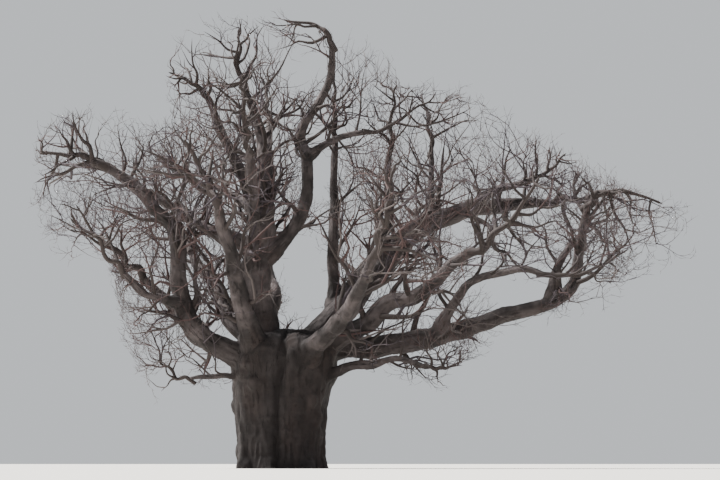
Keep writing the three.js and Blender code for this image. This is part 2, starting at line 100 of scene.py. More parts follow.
# %% Set up the camera
VIEW_DISTANCE = 106.0
EYE_HEIGHT = 0.2
FRAME_WIDTH = 27.0      # what the picture spans at the trunk, in metres
SENSOR_WIDTH = 36       # millimetres
SEEN_TO = 1000          # metres


def object_of(data, name):
    made = bpy.data.objects.new(name, data)
    bpy.context.scene.collection.objects.link(made)
    return made


crown_middle = (cad_low + cad_high) / 2
camera_data = bpy.data.cameras.new("camera")
camera_data.sensor_width = SENSOR_WIDTH
camera_data.lens = camera_data.sensor_width * VIEW_DISTANCE / FRAME_WIDTH
camera_data.clip_end = SEEN_TO
camera = object_of(camera_data, "camera")
camera.location = (0, -VIEW_DISTANCE, EYE_HEIGHT)
aim = crown_middle - camera.location
aim.y = VIEW_DISTANCE
camera.rotation_euler = aim.to_track_quat("-Z", "Y").to_euler()
bpy.context.scene.camera = camera
print(f"a lens of {camera_data.lens:.0f} mm, {math.degrees(camera.rotation_euler.x) - 90:.1f} degrees up")

# %% [markdown]
# ## Numbers that look random and never change
#
# No two boughs of a tree are alike, yet the tree has to come out the same each time. A generator with
# a seed would do, but then one more twig changes all the later ones. Here every twig has a key of
# its own, made from its parent's key, and each number is worked out from that key and from what the
# number is for. The functions take one key or a whole array of keys.

# %% Draw numbers from keys
WORD = 0xFFFFFFFF
STIR = 0x9E3779B1, 0x85EBCA6B, 0xC2B2AE35       # large odd numbers, which mix every bit with the others
STIR_CHILD = 0x27D4EB2F, 0x165667B1
TREE_KEY = 1009


def draw(key, purpose):
    """A number from 0 to 1 that depends only on the key and on what it is drawn for."""
    mixed = (key ^ ((purpose + 1) * STIR[0] & WORD)) * STIR[1] & WORD
    mixed = (mixed ^ (mixed >> 15)) * STIR[2] & WORD
    return (mixed ^ (mixed >> 13)) / 2**32


def between(key, purpose, ends):
    return ends[0] + (ends[1] - ends[0]) * draw(key, purpose)


def child_key(key, index):
    return (key ^ ((index + 1) * STIR_CHILD[0] & WORD)) * STIR_CHILD[1] & WORD


print("four draws from one key:", [round(draw(TREE_KEY, purpose), 3) for purpose in range(4)])

# %% [markdown]
# ## The limbs
#
# Each bough is one row of sizes, in metres and degrees: where it starts, which way it heads in plan,
# how far it swings round, how it climbs from foot to tip, its length and its thickness at both ends.
# These are the rows of the CAD part's source. The crown is the space that its twigs fill beyond the
# tip: how far out and up the middle lies, and its half width and half height.

# %% List the limbs
# name, what carries it, its foot or its share along that limb, heading and turn,
# climb from foot to tip, length, thickness at both ends, crown
ROWS = [
    ("stem_middle", "trunk", (-0.83, 0, 3.7), 0, 0,
     (90, 91, 88, 84), 5.6, (0.74, 0.5), None),
    ("bough_left_low", "trunk", (-1.15, -0.35, 4.05), 190, -10,
     (12, 34, 72, 86, 64, 44, 24), 9.6, (0.43, 0.18), (1.5, 0.2, 3.1, 2.5)),
    ("bough_left_side", "bough_left_low", 0.36, 214, 12,
     (6, 4, 30, 50), 3.1, (0.19, 0.11), (1, 0.9, 2.7, 2.2)),
    ("bough_left_rear", "trunk", (-1, 0.7, 3.9), 146, 16,
     (14, 30, 48, 40), 6, (0.33, 0.16), (1.3, 0.9, 2.9, 2.5)),
    ("bough_left_lowest", "trunk", (-1.35, -0.25, 3.35), 192, -20,
     (8, -3, -2), 2.1, (0.13, 0.08), (0.7, 0.8, 1.6, 1.5)),
    ("bough_front_left", "trunk", (-0.9, -0.9, 4.35), 243, 8,
     (52, 60, 54, 45), 6.3, (0.4, 0.18), (1.4, 0.7, 3.1, 2.7)),
    ("bough_front", "trunk", (0.8, -1.1, 4), 300, -12,
     (24, 20, 36, 46), 7, (0.42, 0.17), (0.9, 1.1, 3, 2.6)),
    ("bough_front_right", "trunk", (1.35, -0.5, 4.2), 335, -14,
     (33, 27, 29, 26), 7.6, (0.4, 0.16), (1.3, 1, 3, 2.6)),
    ("bough_right_drooping", "trunk", (1.4, -0.45, 3.25), 330, -12,
     (26, 12, 2, -16), 4.8, (0.21, 0.1), (0.7, 0, 1.5, 1.2)),
    ("bough_right_low", "trunk", (1.5, 0.05, 4.48), 351, 6,
     (3, 2, 17, 15, 20, 74, 88), 12.9, (0.45, 0.15), (2.3, 0, 3.3, 2.5)),
    ("bough_right_inner", "bough_right_low", 0.68, 30, 10,
     (76, 60, 36), 3.2, (0.19, 0.11), (0.7, 0.9, 2.5, 2.1)),
    ("bough_right_arch", "bough_right_low", 0.34, 334, 8,
     (66, 50, 8, -20), 5.4, (0.22, 0.11), (1.5, 0.3, 2.6, 2)),
    ("bough_right_big", "trunk", (1.15, 0.5, 4.35), 14, -4,
     (57, 54, 43, 34, 6, -2), 11.2, (0.6, 0.2), (1.5, 0.1, 2.9, 2.3)),
    ("bough_right_outer", "bough_right_big", 0.74, 336, 10,
     (40, 22, 6), 2.9, (0.19, 0.11), (1.1, 0.7, 2.6, 2)),
    ("bough_right_upper", "bough_right_big", 0.38, 10, -40,
     (72, 88, 94), 4.3, (0.22, 0.12), (0.2, 1.5, 2.6, 2.3)),
    ("bough_right_fork", "bough_right_big", 0.62, 60, 40,
     (80, 72, 62), 3, (0.18, 0.1), (0.8, 1.2, 2.7, 2.1)),
    ("bough_rear_right", "trunk", (0.8, 1, 4.25), 56, -6,
     (40, 42, 36, 30), 7.6, (0.43, 0.17), (1.4, 1, 3.2, 2.7)),
    ("bough_upright", "bough_right_big", 0.13, 60, 30,
     (68, 94, 96, 78, 84), 6.9, (0.26, 0.13), (0, 1.4, 2.3, 2.1)),
    ("bough_rear", "trunk", (-0.38, 1.25, 4.25), 93, -3,
     (44, 44, 36, 30), 7, (0.42, 0.17), (1.4, 1, 3.1, 2.7)),
    ("bough_rear_left", "trunk", (-0.95, 0.9, 4.05), 128, -6,
     (42, 52, 44, 36), 6.4, (0.35, 0.16), (1.3, 0.9, 3, 2.6)),
    ("bough_left_high", "stem_middle", 0.74, 168, 4,
     (46, 22, 30, 40), 4.9, (0.25, 0.13), (1.3, 0.7, 2.9, 2.3)),
    ("fork_front", "stem_middle", 0.82, 256, 10,
     (50, 58, 46), 4.3, (0.27, 0.13), (1.1, 1, 2.9, 2.4)),
    ("fork_right", "stem_middle", 0.72, 345, 0,
     (36, 42, 56, 76, 98, 124, 36, 50, 88, 104), 9.3, (0.29, 0.12), (-0.7, 0.3, 2.9, 1.9)),
    ("fork_right_out", "fork_right", 0.5, 20, -10,
     (44, 20, 6), 2.7, (0.17, 0.1), (1.3, 0.7, 2.8, 2.3)),
    ("fork_left", "stem_middle", 0.9, 198, -14,
     (70, 72, 62, 76), 5.3, (0.29, 0.13), (0.9, 0.6, 2.6, 2.1)),
    ("fork_left_inner", "fork_left", 0.2, 150, -10,
     (40, 22, 12), 2.8, (0.17, 0.1), (1, 0.6, 2.6, 2.2)),
    ("fork_rear", "stem_middle", 0.93, 75, 20,
     (62, 64, 46, 40), 5.2, (0.29, 0.13), (1.2, 0.9, 2.9, 2.5)),
    ("fork_middle", "stem_middle", 1, 60, 110,
     (80, 84, 76, 68), 5.1, (0.33, 0.14), (0.1, 1.1, 2.7, 2.1)),
]
LIMB_SIZES = ("name", "on", "start", "heading", "turn", "pitch", "length", "radius", "crown")
LIMBS = [dict(zip(LIMB_SIZES, row)) for row in ROWS]
# Limbs that the part splits at their bend, into a lower and an upper node
IN_TWO_NODES = ("bough_left_low", "bough_right_low", "bough_right_big", "fork_right")

# %% [markdown]
# A limb's path is walked in steps. At each step the climb is read off its list, the heading swings
# on, and both waver a little. Frames are carried along the path, so that "to the side" means the
# same all along a limb and nothing twists.

# %% Walk the limbs' paths
LIMB_STEP = 0.78        # metres
KINK = 7                # degrees that a limb wavers to each side
HEADING_WAVES, CLIMB_WAVES = 1.7, 2.3       # how often it wavers along its length
HEADING_PHASE, CLIMB_PHASE = 1, 2           # what a limb's draws are for
LIMB_TAPER = 0.85       # below 1, so a limb keeps its thickness and then thins near the tip
NEARLY_ALONG_X = 0.8


def unit(vectors):
    return vectors / np.linalg.norm(vectors, axis=-1, keepdims=True)


def direction(heading, pitch):
    h, p = math.radians(heading), math.radians(pitch)
    return np.array([math.cos(p) * math.cos(h), math.cos(p) * math.sin(h), math.sin(p)])


def frames_along(paths, first_ahead=None):
    """For each point of many paths: ahead, and two unit vectors square to it, carried without twist."""
    ahead = np.empty_like(paths)
    ahead[:, 1:-1] = paths[:, 2:] - paths[:, :-2]
    ahead[:, 0] = paths[:, 1] - paths[:, 0] if first_ahead is None else first_ahead
    ahead[:, -1] = paths[:, -1] - paths[:, -2]
    ahead = unit(ahead)
    side = np.empty_like(paths)
    carried = np.where(np.abs(ahead[:, :1, 0]) > NEARLY_ALONG_X, [[0.0, 1.0, 0.0]], [[1.0, 0.0, 0.0]])
    for i in range(paths.shape[1]):
        carried = unit(carried - ahead[:, i] * np.sum(carried * ahead[:, i], axis=1, keepdims=True))
        side[:, i] = carried
    return ahead, side, np.cross(ahead, side)


def frames_of(path):
    return [frames[0] for frames in frames_along(path[None])]


def limb_path(limb, start):
    steps = max(5, round(limb["length"] / LIMB_STEP))
    points = [np.array(start, float)]
    for i in range(steps):
        share = (i + 0.5) / steps
        waver = KINK * min(1, 2 * share)
        heading = limb["heading"] + limb["turn"] * share + waver * math.sin(
            2 * math.pi * (HEADING_WAVES * share + draw(limb["key"], HEADING_PHASE)))
        climb = np.interp(share, np.linspace(0, 1, len(limb["pitch"])), limb["pitch"])
        climb += waver * math.sin(
            2 * math.pi * (CLIMB_WAVES * share + draw(limb["key"], CLIMB_PHASE)))
        points.append(points[-1] + direction(heading, climb) * limb["length"] / steps)
    return np.array(points)


def limb_radius(limb, share):
    thick, thin = limb["radius"]
    return thin + (thick - thin) * np.maximum(0, 1 - share) ** LIMB_TAPER


def station(limb, share):
    """The place, radius and frame at a share of a limb."""
    place = min(share, 1) * (len(limb["points"]) - 1)
    i = min(int(place), len(limb["points"]) - 2)
    part = place - i
    ahead = unit(limb["ahead"][i] * (1 - part) + limb["ahead"][i + 1] * part)
    side = limb["side"][i] * (1 - part) + limb["side"][i + 1] * part
    side = unit(side - ahead * np.dot(side, ahead))
    point = limb["points"][i] * (1 - part) + limb["points"][i + 1] * part
    return point, limb_radius(limb, share), ahead, side


limbs = {}
for row, limb in enumerate(LIMBS):
    limb["key"] = child_key(TREE_KEY, row)
    start = limb["start"] if limb["on"] == "trunk" else station(limbs[limb["on"]], limb["start"])[0]
    limb["points"] = limb_path(limb, start)
    limb["ahead"], limb["side"], _ = frames_of(limb["points"])
    limb["radii"] = limb_radius(limb, np.linspace(0, 1, len(limb["points"])))
    limbs[limb["name"]] = limb
print(len(limbs), "limbs,", round(sum(limb["length"] for limb in LIMBS)), "m in all")

# %% [markdown]
# ## Meshes from arrays
#
# Limbs and twigs are tapering tubes that follow paths. The paths are worked out here as arrays of
# points, because a growth rule has to know each parent before its child. Smooth curves through the
# points come from a Catmull-Rom formula. A path is handed to Blender as a mesh of bare edges with a
# radius at each point, and Geometry Nodes run a circle along it.

# %% Make meshes from arrays
def softened(rows, times):
    """Rows of values with more of them, on a smooth curve through the given ones (Catmull-Rom)."""
    before = np.concatenate([2 * rows[:, :1] - rows[:, 1:2], rows[:, :-1]], axis=1)[:, :-1]
    after = np.concatenate([rows[:, 2:], 2 * rows[:, -1:] - rows[:, -2:-1]], axis=1)
    here, ahead = rows[:, :-1], rows[:, 1:]
    parts = []
    for i in range(times):
        t = i / times
        parts.append(here + 0.5 * ((ahead - before) * t + (2 * before - 5 * here + 4 * ahead - after) * t**2
                                   + (3 * here - before - 3 * ahead + after) * t**3))
    finer = np.stack(parts, axis=2).reshape(rows.shape[0], -1, rows.shape[2])
    return np.concatenate([finer, rows[:, -1:]], axis=1)


def set_numbers(mesh, name, values):
    """Gives each point of a mesh a number."""
    made = mesh.attributes.new(name, "FLOAT", "POINT")
    made.data.foreach_set("value", np.asarray(values, np.float32))


def mesh_of(name, corners, faces, edges=()):
    """A mesh of corners, of faces that all have as many sides, and of bare edges."""
    mesh = bpy.data.meshes.new(name)
    mesh.vertices.add(len(corners))
    mesh.vertices.foreach_set("co", corners.astype(np.float32).ravel())
    mesh.edges.add(len(edges))
    mesh.edges.foreach_set("vertices", np.asarray(edges, np.int32).ravel())
    mesh.loops.add(faces.size)
    mesh.loops.foreach_set("vertex_index", faces.astype(np.int32).ravel())
    mesh.polygons.add(len(faces))
    mesh.polygons.foreach_set("loop_start", np.arange(0, faces.size, faces.shape[1], dtype=np.int32))
    mesh.update(calc_edges=True)
    mesh.shade_smooth()
    return mesh


def path_edges(count, points, first):
    """The edges of as many paths, each of as many points, the first of them with that number."""
    low = first + np.arange(count)[:, None] * points + np.arange(points - 1)
    return np.stack([low, low + 1], axis=2).reshape(-1, 2)


# %% [markdown]
# ## Noise
#
# Bark is never quite even. The same keyed draws give a smooth noise: a number is drawn for each
# corner of a grid of cells, and eased between the corners. In one dimension it makes a limb wander
# and swell along its length, and in three it shapes the bark.

# %% Make smooth noise
FAR_CELL = 4096     # keeps the cell numbers above zero


def noise(points, key):
    """Smooth noise from -1 to 1 at points of any number of dimensions, one unit to a cell."""
    cell = np.floor(points)
    part = points - cell
    eased = part * part * (3 - 2 * part)
    cell = (cell + FAR_CELL).astype(np.uint64)
    total = 0
    for corner in itertools.product((0, 1), repeat=points.shape[1]):
        weight = np.prod(np.where(corner, eased, 1 - eased), axis=1)
        corner_key = key
        for axis, step in enumerate(corner):
            corner_key = child_key(corner_key, cell[:, axis] + np.uint64(step))
        total = total + weight * draw(corner_key, 0)
    return 2 * total - 1


# %% [markdown]
# ## The rough body: barrel and limbs
#
# A baobab's trunk is a water store: a barrel with broad vertical lobes that is widest under the
# boughs. Often it is several columns that have grown together, here two, and a crease runs up where
# they meet. Its outline is a short list of heights and radii, turned round the axis. Each limb
# becomes a tube on a smooth curve through its path. It wanders and swells a little, and it widens at
# the foot, where a real bough grows a collar. The tubes simply run into each other for now.

# %% Shape the barrel
TRUNK_PROFILE = [       # height, radius, and how far the barrel leans to the right there
    (0, 1.66, 0), (0.3, 1.6, 0), (1, 1.6, -0.01), (2, 1.67, -0.02), (2.9, 1.78, 0.02),
    (3.6, 1.9, 0.11), (4.15, 1.96, 0.2), (4.6, 1.82, 0.24), (4.95, 1.35, 0.24), (5.13, 0.64, 0.24),
]
TRUNK_LOBES = 7
LOBE_DEPTH = 0.035          # of the radius
FLARE_LOBE_DEPTH = 0.05     # so much deeper at the ground
FLARE_HEIGHT = 0.9
LOBE_LEAN = 1.6             # metres up for each radian of the lobes' wave
CREASES = [97, -76]         # degrees round the trunk where its two columns have grown together
CREASE_DEPTH = (0.05, 0.15)     # of the radius, at the ground and under the boughs
CREASE_WIDTH = 13               # degrees
CREASE_FULL_HEIGHT = 4.0
BARREL_SIDES = 96
BELOW_GROUND = 0.3      # cut off again once the bark has its relief
PROFILE_STEPS = 6       # to one of the profile's own
TOP_BULGE = 0.04

profile = softened(np.array([TRUNK_PROFILE], float), PROFILE_STEPS)[0]


def barrel_radius(height):
    return np.interp(height, profile[:, 0], profile[:, 1])


def barrel_shift(height):
    return np.interp(height, profile[:, 0], profile[:, 2])


def creased(height, angle):
    depth = np.interp(height, (0, CREASE_FULL_HEIGHT), CREASE_DEPTH)
    aways = [(np.degrees(angle) - crease + 180) % 360 - 180 for crease in CREASES]
    return depth * sum(np.exp(-(away / CREASE_WIDTH) ** 2) for away in aways)


def lobed(radius, height, angle):
    depth = LOBE_DEPTH + FLARE_LOBE_DEPTH * np.clip(1 - height / FLARE_HEIGHT, 0, 1)
    return radius * (1 + depth * np.cos(TRUNK_LOBES * angle + height / LOBE_LEAN) - creased(height, angle))


rows = np.concatenate([[[-BELOW_GROUND, TRUNK_PROFILE[0][1], 0]], profile])
angle = 2 * np.pi * np.arange(BARREL_SIDES) / BARREL_SIDES
height, radius, shift = (rows[:, i, None] for i in range(3))
rim = lobed(radius, height, angle)
ring_corners = np.stack([rim * np.cos(angle) + shift, -rim * np.sin(angle),
                         np.broadcast_to(height, rim.shape)], axis=2)
poles = np.array([[0, 0, -BELOW_GROUND], [profile[-1, 2], 0, profile[-1, 0] + TOP_BULGE]])
corners = np.concatenate([ring_corners.reshape(-1, 3), poles])
faces = []
here = np.arange(BARREL_SIDES)
beside = (here + 1) % BARREL_SIDES
for row in range(len(rows) - 1):
    low, high = row * BARREL_SIDES, (row + 1) * BARREL_SIDES
    faces += [*zip(low + here, high + here, high + beside), *zip(low + here, high + beside, low + beside)]
top = (len(rows) - 1) * BARREL_SIDES
faces += [*zip(here, beside, [len(corners) - 2] * BARREL_SIDES)]
faces += [*zip(top + beside, top + here, [len(corners) - 1] * BARREL_SIDES)]
barrel = corners, np.array(faces)
print("the barrel is", round(2 * profile[:, 1].max(), 2), "m wide and has", len(faces), "triangles")

# %% Shape the limbs
LIMB_SIDES = 20
STEPS_BETWEEN = 4
FOOT_SWELL = 0.42       # of the radius
SWELL_LENGTH = 1.6      # in radii of the foot
SWELLING = 0.09
SWELLING_GAP = 0.6      # metres between swellings
WANDER = 0.5            # of the radius
MOST_WANDER = 0.16
WANDER_GAPS = 1.1, 0.9      # metres between bends to the side, and between those square to them
WANDER_KEY, SWELLING_KEY = 201, 203
TIP_RADIUS = 0.0015     # a path ends as good as pointed


def fine_limb(limb):
    """The limb's path and radii with four steps to one of its own, wandering and swelling."""
    points = softened(limb["points"][None], STEPS_BETWEEN)[0]
    across = frames_of(points)[1:]
    share = np.linspace(0, 1, len(points))
    along = share * limb["length"]
    radii = limb_radius(limb, share)
    fades = np.sqrt(np.sin(np.pi * np.clip(share, 0, 1)).clip(0))
    sway = np.minimum(WANDER * radii, MOST_WANDER) * fades
    for number, (way, gap) in enumerate(zip(across, WANDER_GAPS)):
        wandering = noise(along[:, None] / gap, child_key(limb["key"], WANDER_KEY + number))
        points = points + way * (sway * wandering)[:, None]
    swellings = noise(along[:, None] / SWELLING_GAP, child_key(limb["key"], SWELLING_KEY))
    swelling = 1 + SWELLING * fades * swellings
    bearer = 0 if limb["on"] == "trunk" else limb_radius(limbs[limb["on"]], limb["start"])
    past = (along - bearer) / (SWELL_LENGTH * radii[0])
    return points, radii * swelling * (1 + FOOT_SWELL * np.exp(-np.maximum(past, 0) ** 2))


rough_corners, rough_radii = [barrel[0]], [np.full(len(barrel[0]), profile[:, 1].mean())]
rough_edges = []
for limb in LIMBS:
    points, radii = fine_limb(limb)
    limb["fine_points"], limb["fine_radii"] = points, radii
    blunt_tip = points[-1] + unit(points[-1] - points[-2]) * radii[-1] / 2
    rough_edges.append(path_edges(1, len(points) + 1, sum(map(len, rough_corners))))
    rough_corners.append(np.vstack([points, blunt_tip]))
    rough_radii.append(np.append(radii, TIP_RADIUS))
rough_mesh = mesh_of("rough_body", np.concatenate(rough_corners), barrel[1], np.concatenate(rough_edges))
set_numbers(rough_mesh, "radius", np.concatenate(rough_radii))
set_numbers(rough_mesh, "on_path", np.arange(len(rough_mesh.vertices)) >= len(barrel[0]))
rough = object_of(rough_mesh, "rough_body")
print(len(LIMBS), "limbs are paths with", len(rough_mesh.vertices) - len(barrel[0]), "points")

# %% [markdown]
# ## Tubes and burrs
#
# The limbs' paths become tubes with Geometry Nodes: Curve to Mesh runs a circle along each one. Old
# baobabs also carry burrs where branches were shed or elephants rubbed. They repeat all over the tree
# in every size, so the same tree scatters them: points on the surface, a small lump on each, turned
# to face outwards and sized by the limb that carries it. The lumps are only sunk in for now. The
# next step melts them into the bark.

# %% Add nodes and run trees
def add_node(tree, kind, inputs=None, **settings):
    """Adds a node with its settings; an input is a value, or the socket or node that feeds it."""
    made = tree.nodes.new(kind)
    for name, value in settings.items():
        setattr(made, name, value)
    for name, value in (inputs or {}).items():
        if isinstance(value, bpy.types.Node):
            value = value.outputs[0]
        if isinstance(value, bpy.types.NodeSocket):
            tree.links.new(value, made.inputs[name])
        else:
            made.inputs[name].default_value = value
    return made


def geometry_tree(name, values):
    """A Geometry Nodes tree with a mesh in and out, and a named input for each value."""
    kinds = {int: "NodeSocketInt", float: "NodeSocketFloat", bpy.types.Material: "NodeSocketMaterial"}
    tree = bpy.data.node_groups.new(name, "GeometryNodeTree")
    tree.interface.new_socket("Geometry", in_out="INPUT", socket_type="NodeSocketGeometry")
    tree.interface.new_socket("Geometry", in_out="OUTPUT", socket_type="NodeSocketGeometry")
    for title, value in values.items():
        tree.interface.new_socket(title, in_out="INPUT", socket_type=kinds[type(value)])
    return tree


def finished_mesh(source):
    """The plain mesh of an object with its modifiers; the object itself is removed."""
    mesh = bpy.data.meshes.new_from_object(source.evaluated_get(bpy.context.evaluated_depsgraph_get()))
    bpy.data.objects.remove(source)
    return mesh


def grown_mesh(source, tree, values):
    """The plain mesh that the tree makes of an object."""
    modifier = source.modifiers.new(tree.name, "NODES")
    modifier.node_group = tree
    for socket in tree.interface.items_tree:
        if socket.in_out == "INPUT" and socket.name in values:
            modifier[socket.identifier] = values[socket.name]
    return finished_mesh(source)


def add_tubes(tree, paths, sides):
    """Nodes that run a circle along paths, as wide as the number that their points hold."""
    curves = add_node(tree, "GeometryNodeMeshToCurve", {"Mesh": paths})
    circle = add_node(tree, "GeometryNodeCurvePrimitiveCircle", {"Resolution": sides, "Radius": 1.0})
    radius = add_node(tree, "GeometryNodeInputNamedAttribute", {"Name": "radius"}, data_type="FLOAT")
    return add_node(tree, "GeometryNodeCurveToMesh", {
        "Curve": curves, "Profile Curve": circle, "Scale": radius, "Fill Caps": True}).outputs["Mesh"]


# %% Build the rough body's tree
BURRS_PER_AREA = 0.55       # to a square metre
SMALLEST_BURR = 0.16        # of the limb's radius
LARGEST_BURR = 0.42
BURR_HEIGHT = 0.45          # of the burr's own radius
MOST_BURR = 0.3             # metres
BURR_SEED = 11

bark = bpy.data.materials.new("weathered_baobab_bark")      # mixed further down
body_values = {
    "Limb Sides": LIMB_SIDES, "Burrs per Area": BURRS_PER_AREA, "Smallest Burr": SMALLEST_BURR,
    "Largest Burr": LARGEST_BURR, "Burr Height": BURR_HEIGHT, "Most": MOST_BURR, "Seed": BURR_SEED,
    "Bark": bark,
}
body_tree = geometry_tree("rough_body", body_values)
add = functools.partial(add_node, body_tree)
given = add("NodeGroupInput").outputs
on_path = add("GeometryNodeInputNamedAttribute", {"Name": "on_path"}, data_type="FLOAT")
parted = add("GeometryNodeSeparateGeometry", {"Geometry": given["Geometry"], "Selection": on_path},
             domain="POINT")
body = add("GeometryNodeJoinGeometry", {"Geometry": parted.outputs["Inverted"]})
body_tree.links.new(add_tubes(body_tree, parted.outputs["Selection"], given["Limb Sides"]), body.inputs[0])
scattered = add("GeometryNodeDistributePointsOnFaces", {
    "Mesh": body, "Density": given["Burrs per Area"], "Seed": given["Seed"]})
lump = add("GeometryNodeMeshIcoSphere", {"Radius": 1.0, "Subdivisions": 2})
size = add("GeometryNodeInputNamedAttribute", {"Name": "radius"}, data_type="FLOAT")
chance = add("FunctionNodeRandomValue", {
    2: given["Smallest Burr"], 3: given["Largest Burr"], "Seed": given["Seed"]}, data_type="FLOAT")
for operation, value in (("MULTIPLY", chance.outputs[1]), ("MINIMUM", given["Most"])):
    size = add("ShaderNodeMath", {0: size, 1: value}, operation=operation)
rise = add("ShaderNodeMath", {0: size, 1: given["Burr Height"]}, operation="MULTIPLY")
scale = add("ShaderNodeCombineXYZ", {"X": size, "Y": size, "Z": rise})
placed = add("GeometryNodeInstanceOnPoints", {
    "Points": scattered, "Instance": lump, "Rotation": scattered.outputs["Rotation"], "Scale": scale})
together = add("GeometryNodeJoinGeometry", {"Geometry": body})
body_tree.links.new(placed.outputs[0], together.inputs["Geometry"])
real = add("GeometryNodeRealizeInstances", {"Geometry": together})
coated = add("GeometryNodeSetMaterial", {"Geometry": real, "Material": given["Bark"]})
add("NodeGroupOutput", {"Geometry": coated})
burred = object_of(grown_mesh(rough, body_tree, body_values), "burred_body")
print("the rough body with its burrs has", len(burred.data.polygons), "faces")

# %% [markdown]
# ## One skin
#
# A voxel remesh wraps a single even skin over the barrel, the limbs and the burrs, whatever lies
# inside. A Boolean union would leave sharp creases at every crotch. The skin is then relaxed, most
# where the wood is thick, so that the boughs flow out of the trunk as they do on the tree while the
# thin tips keep their size.

# %% Melt the parts into one skin
VOXEL = 0.045       # metres


def read_rows(items, field, each, columns, kind):
    """A field of a mesh's items, with so many numbers each, as rows of so many columns."""
    values = np.empty(len(items) * each, kind)
    items.foreach_get(field, values)
    return values.reshape(-1, columns)


skin_modifier = burred.modifiers.new("skin", "REMESH")
skin_modifier.mode = "VOXEL"
skin_modifier.voxel_size = VOXEL
skin = finished_mesh(burred)
skin_corners = read_rows(skin.vertices, "co", 3, 3, np.float32).astype(float)
skin_faces = read_rows(skin.loops, "vertex_index", 1, 4, np.int32)
skin_edges = read_rows(skin.edges, "vertices", 2, 2, np.int32)
print("the skin has", len(skin_faces), "four-sided faces")

# %% [markdown]
# Every point of the skin is given its place on the nearest limb: how far along, and how far to each
# side of the middle line. A pattern drawn in these coordinates runs along the limb round every bend,
# as the fibres of the bark do.

# %% Place each point of the skin on its limb
NEAR = 1.2      # metres past a limb's own radius within which a point is measured against it
BARREL_RADIUS = TRUNK_PROFILE[3][1]     # two metres up

point_count = len(skin_corners)
barrel_height = np.clip(skin_corners[:, 2], 0, profile[-1, 0])
from_axis = np.hypot(skin_corners[:, 0] - barrel_shift(barrel_height), skin_corners[:, 1])
barrel_gap = np.maximum(from_axis - barrel_radius(barrel_height), skin_corners[:, 2] - profile[-1, 0])
nearest = barrel_gap.copy()
second = np.full(point_count, np.inf)
owner = np.full(point_count, -1)
owner_radius = np.full(point_count, BARREL_RADIUS)
on_limb = skin_corners.copy()
for number, limb in enumerate(LIMBS):
    line, radii = limb["fine_points"][::2], limb["fine_radii"][::2]
    reach = NEAR + radii.max()
    close = np.all((skin_corners > line.min(0) - reach) & (skin_corners < line.max(0) + reach), axis=1)
    close = np.flatnonzero(close)
    spans = line[1:] - line[:-1]
    offset = skin_corners[close, None] - line[None, :-1]
    part = np.clip(np.sum(offset * spans, axis=2) / np.sum(spans**2, axis=1), 0, 1)
    away = offset - part[..., None] * spans
    distance = np.linalg.norm(away, axis=2)
    width = radii[:-1] + (radii[1:] - radii[:-1]) * part
    span = np.argmin(distance - width, axis=1)
    rows = np.arange(len(close))
    found = (distance - width)[rows, span]
    _, side, other = frames_of(line)
    away = away[rows, span]
    share = (span + part[rows, span]) / len(spans)
    better = found < nearest[close]
    second[close] = np.where(better, nearest[close], np.minimum(second[close], found))
    mine = close[better]
    nearest[mine] = found[better]
    owner[mine] = number
    owner_radius[mine] = width[rows, span][better]
    on_limb[mine, 0] = np.sum(away * side[span], axis=1)[better]
    on_limb[mine, 1] = np.sum(away * other[span], axis=1)[better]
    on_limb[mine, 2] = share[better] * limb["length"]
print("points on the barrel:", int(np.sum(owner < 0)), "and on limbs:", int(np.sum(owner >= 0)))

# %% Relax the skin
RELAX_STEPS = 14
RELAX_GIVE = 0.6        # how far a point goes towards the middle of its neighbours at each step
FULLY_RELAXED = 0.32    # limb radius from which a limb is relaxed in full
LEAST_RELAXED = 0.12    # the share of it that the thinnest limbs get

neighbours = np.bincount(skin_edges.ravel(), minlength=point_count)
give = RELAX_GIVE * np.clip(owner_radius / FULLY_RELAXED, LEAST_RELAXED, 1)
for _ in range(RELAX_STEPS):
    for axis in range(3):
        total = np.bincount(skin_edges[:, 0], skin_corners[skin_edges[:, 1], axis], point_count)
        total += np.bincount(skin_edges[:, 1], skin_corners[skin_edges[:, 0], axis], point_count)
        skin_corners[:, axis] += give * (total / neighbours - skin_corners[:, axis])
print("relaxed", RELAX_STEPS, "times")

# %% [markdown]
# ## Bark relief
#
# Baobab bark is thin, and it creases like an elephant's skin over the swelling wood. Three things
# show from a distance: long shallow flutes that run up the limbs, folds between them, and rings of
# fine wrinkles where the wood has settled. All three are noise in the limb's own coordinates, and
# stretched: long and narrow for flutes, short and wide for wrinkles. A groove follows each crease of
# the trunk and wanders to both sides of it. Moving the points shows in the outline, which a bump in
# the material never does. Bumps are left for what is finer than the mesh.

# %% Raise the bark
# Flutes, folds and wrinkles: how wide and long each is in widths of a flute, and how high they stand
FORM_WIDTHS, FORM_LENGTHS = (1, 0.6, 1.6), (4, 1.7, 0.28)
BARREL_FORMS = 0.05, 0.045, 0.018       # metres
BOUGH_FORMS = 0.13, 0.07, 0.03          # of the limb's radius
THICKEST_RELIEF = 0.45      # limb radius past which they grow no higher
BARREL_FLUTE_WIDTH = 0.42
BOUGH_FLUTE_WIDTH = 0.8     # of the limb's radius, within the limits below
BOUGH_FLUTE_LIMITS = 0.1, 0.36
BARREL_KEY, GROOVE_KEY = 31, 33
CROTCH_BLEND = 0.16         # metres over which the relief fades towards another limb's bark
GROOVE_DEPTH = 0.15         # metres, where the trunk's two columns meet
GROOVE_WIDTH = 4.0          # degrees
GROOVE_WANDER = 5           # degrees
GROOVE_BEND = 1.3           # metres between bends of the groove


def face_normals(corners, faces):
    across = corners[faces[:, 2]] - corners[faces[:, 0]]
    along = corners[faces[:, 3]] - corners[faces[:, 1]]
    return np.cross(across, along)


def point_normals(corners, faces):
    normals = face_normals(corners, faces)
    summed = np.zeros_like(corners)
    for axis in range(3):
        for column in range(4):
            summed[:, axis] += np.bincount(faces[:, column], normals[:, axis], len(corners))
    return unit(summed)


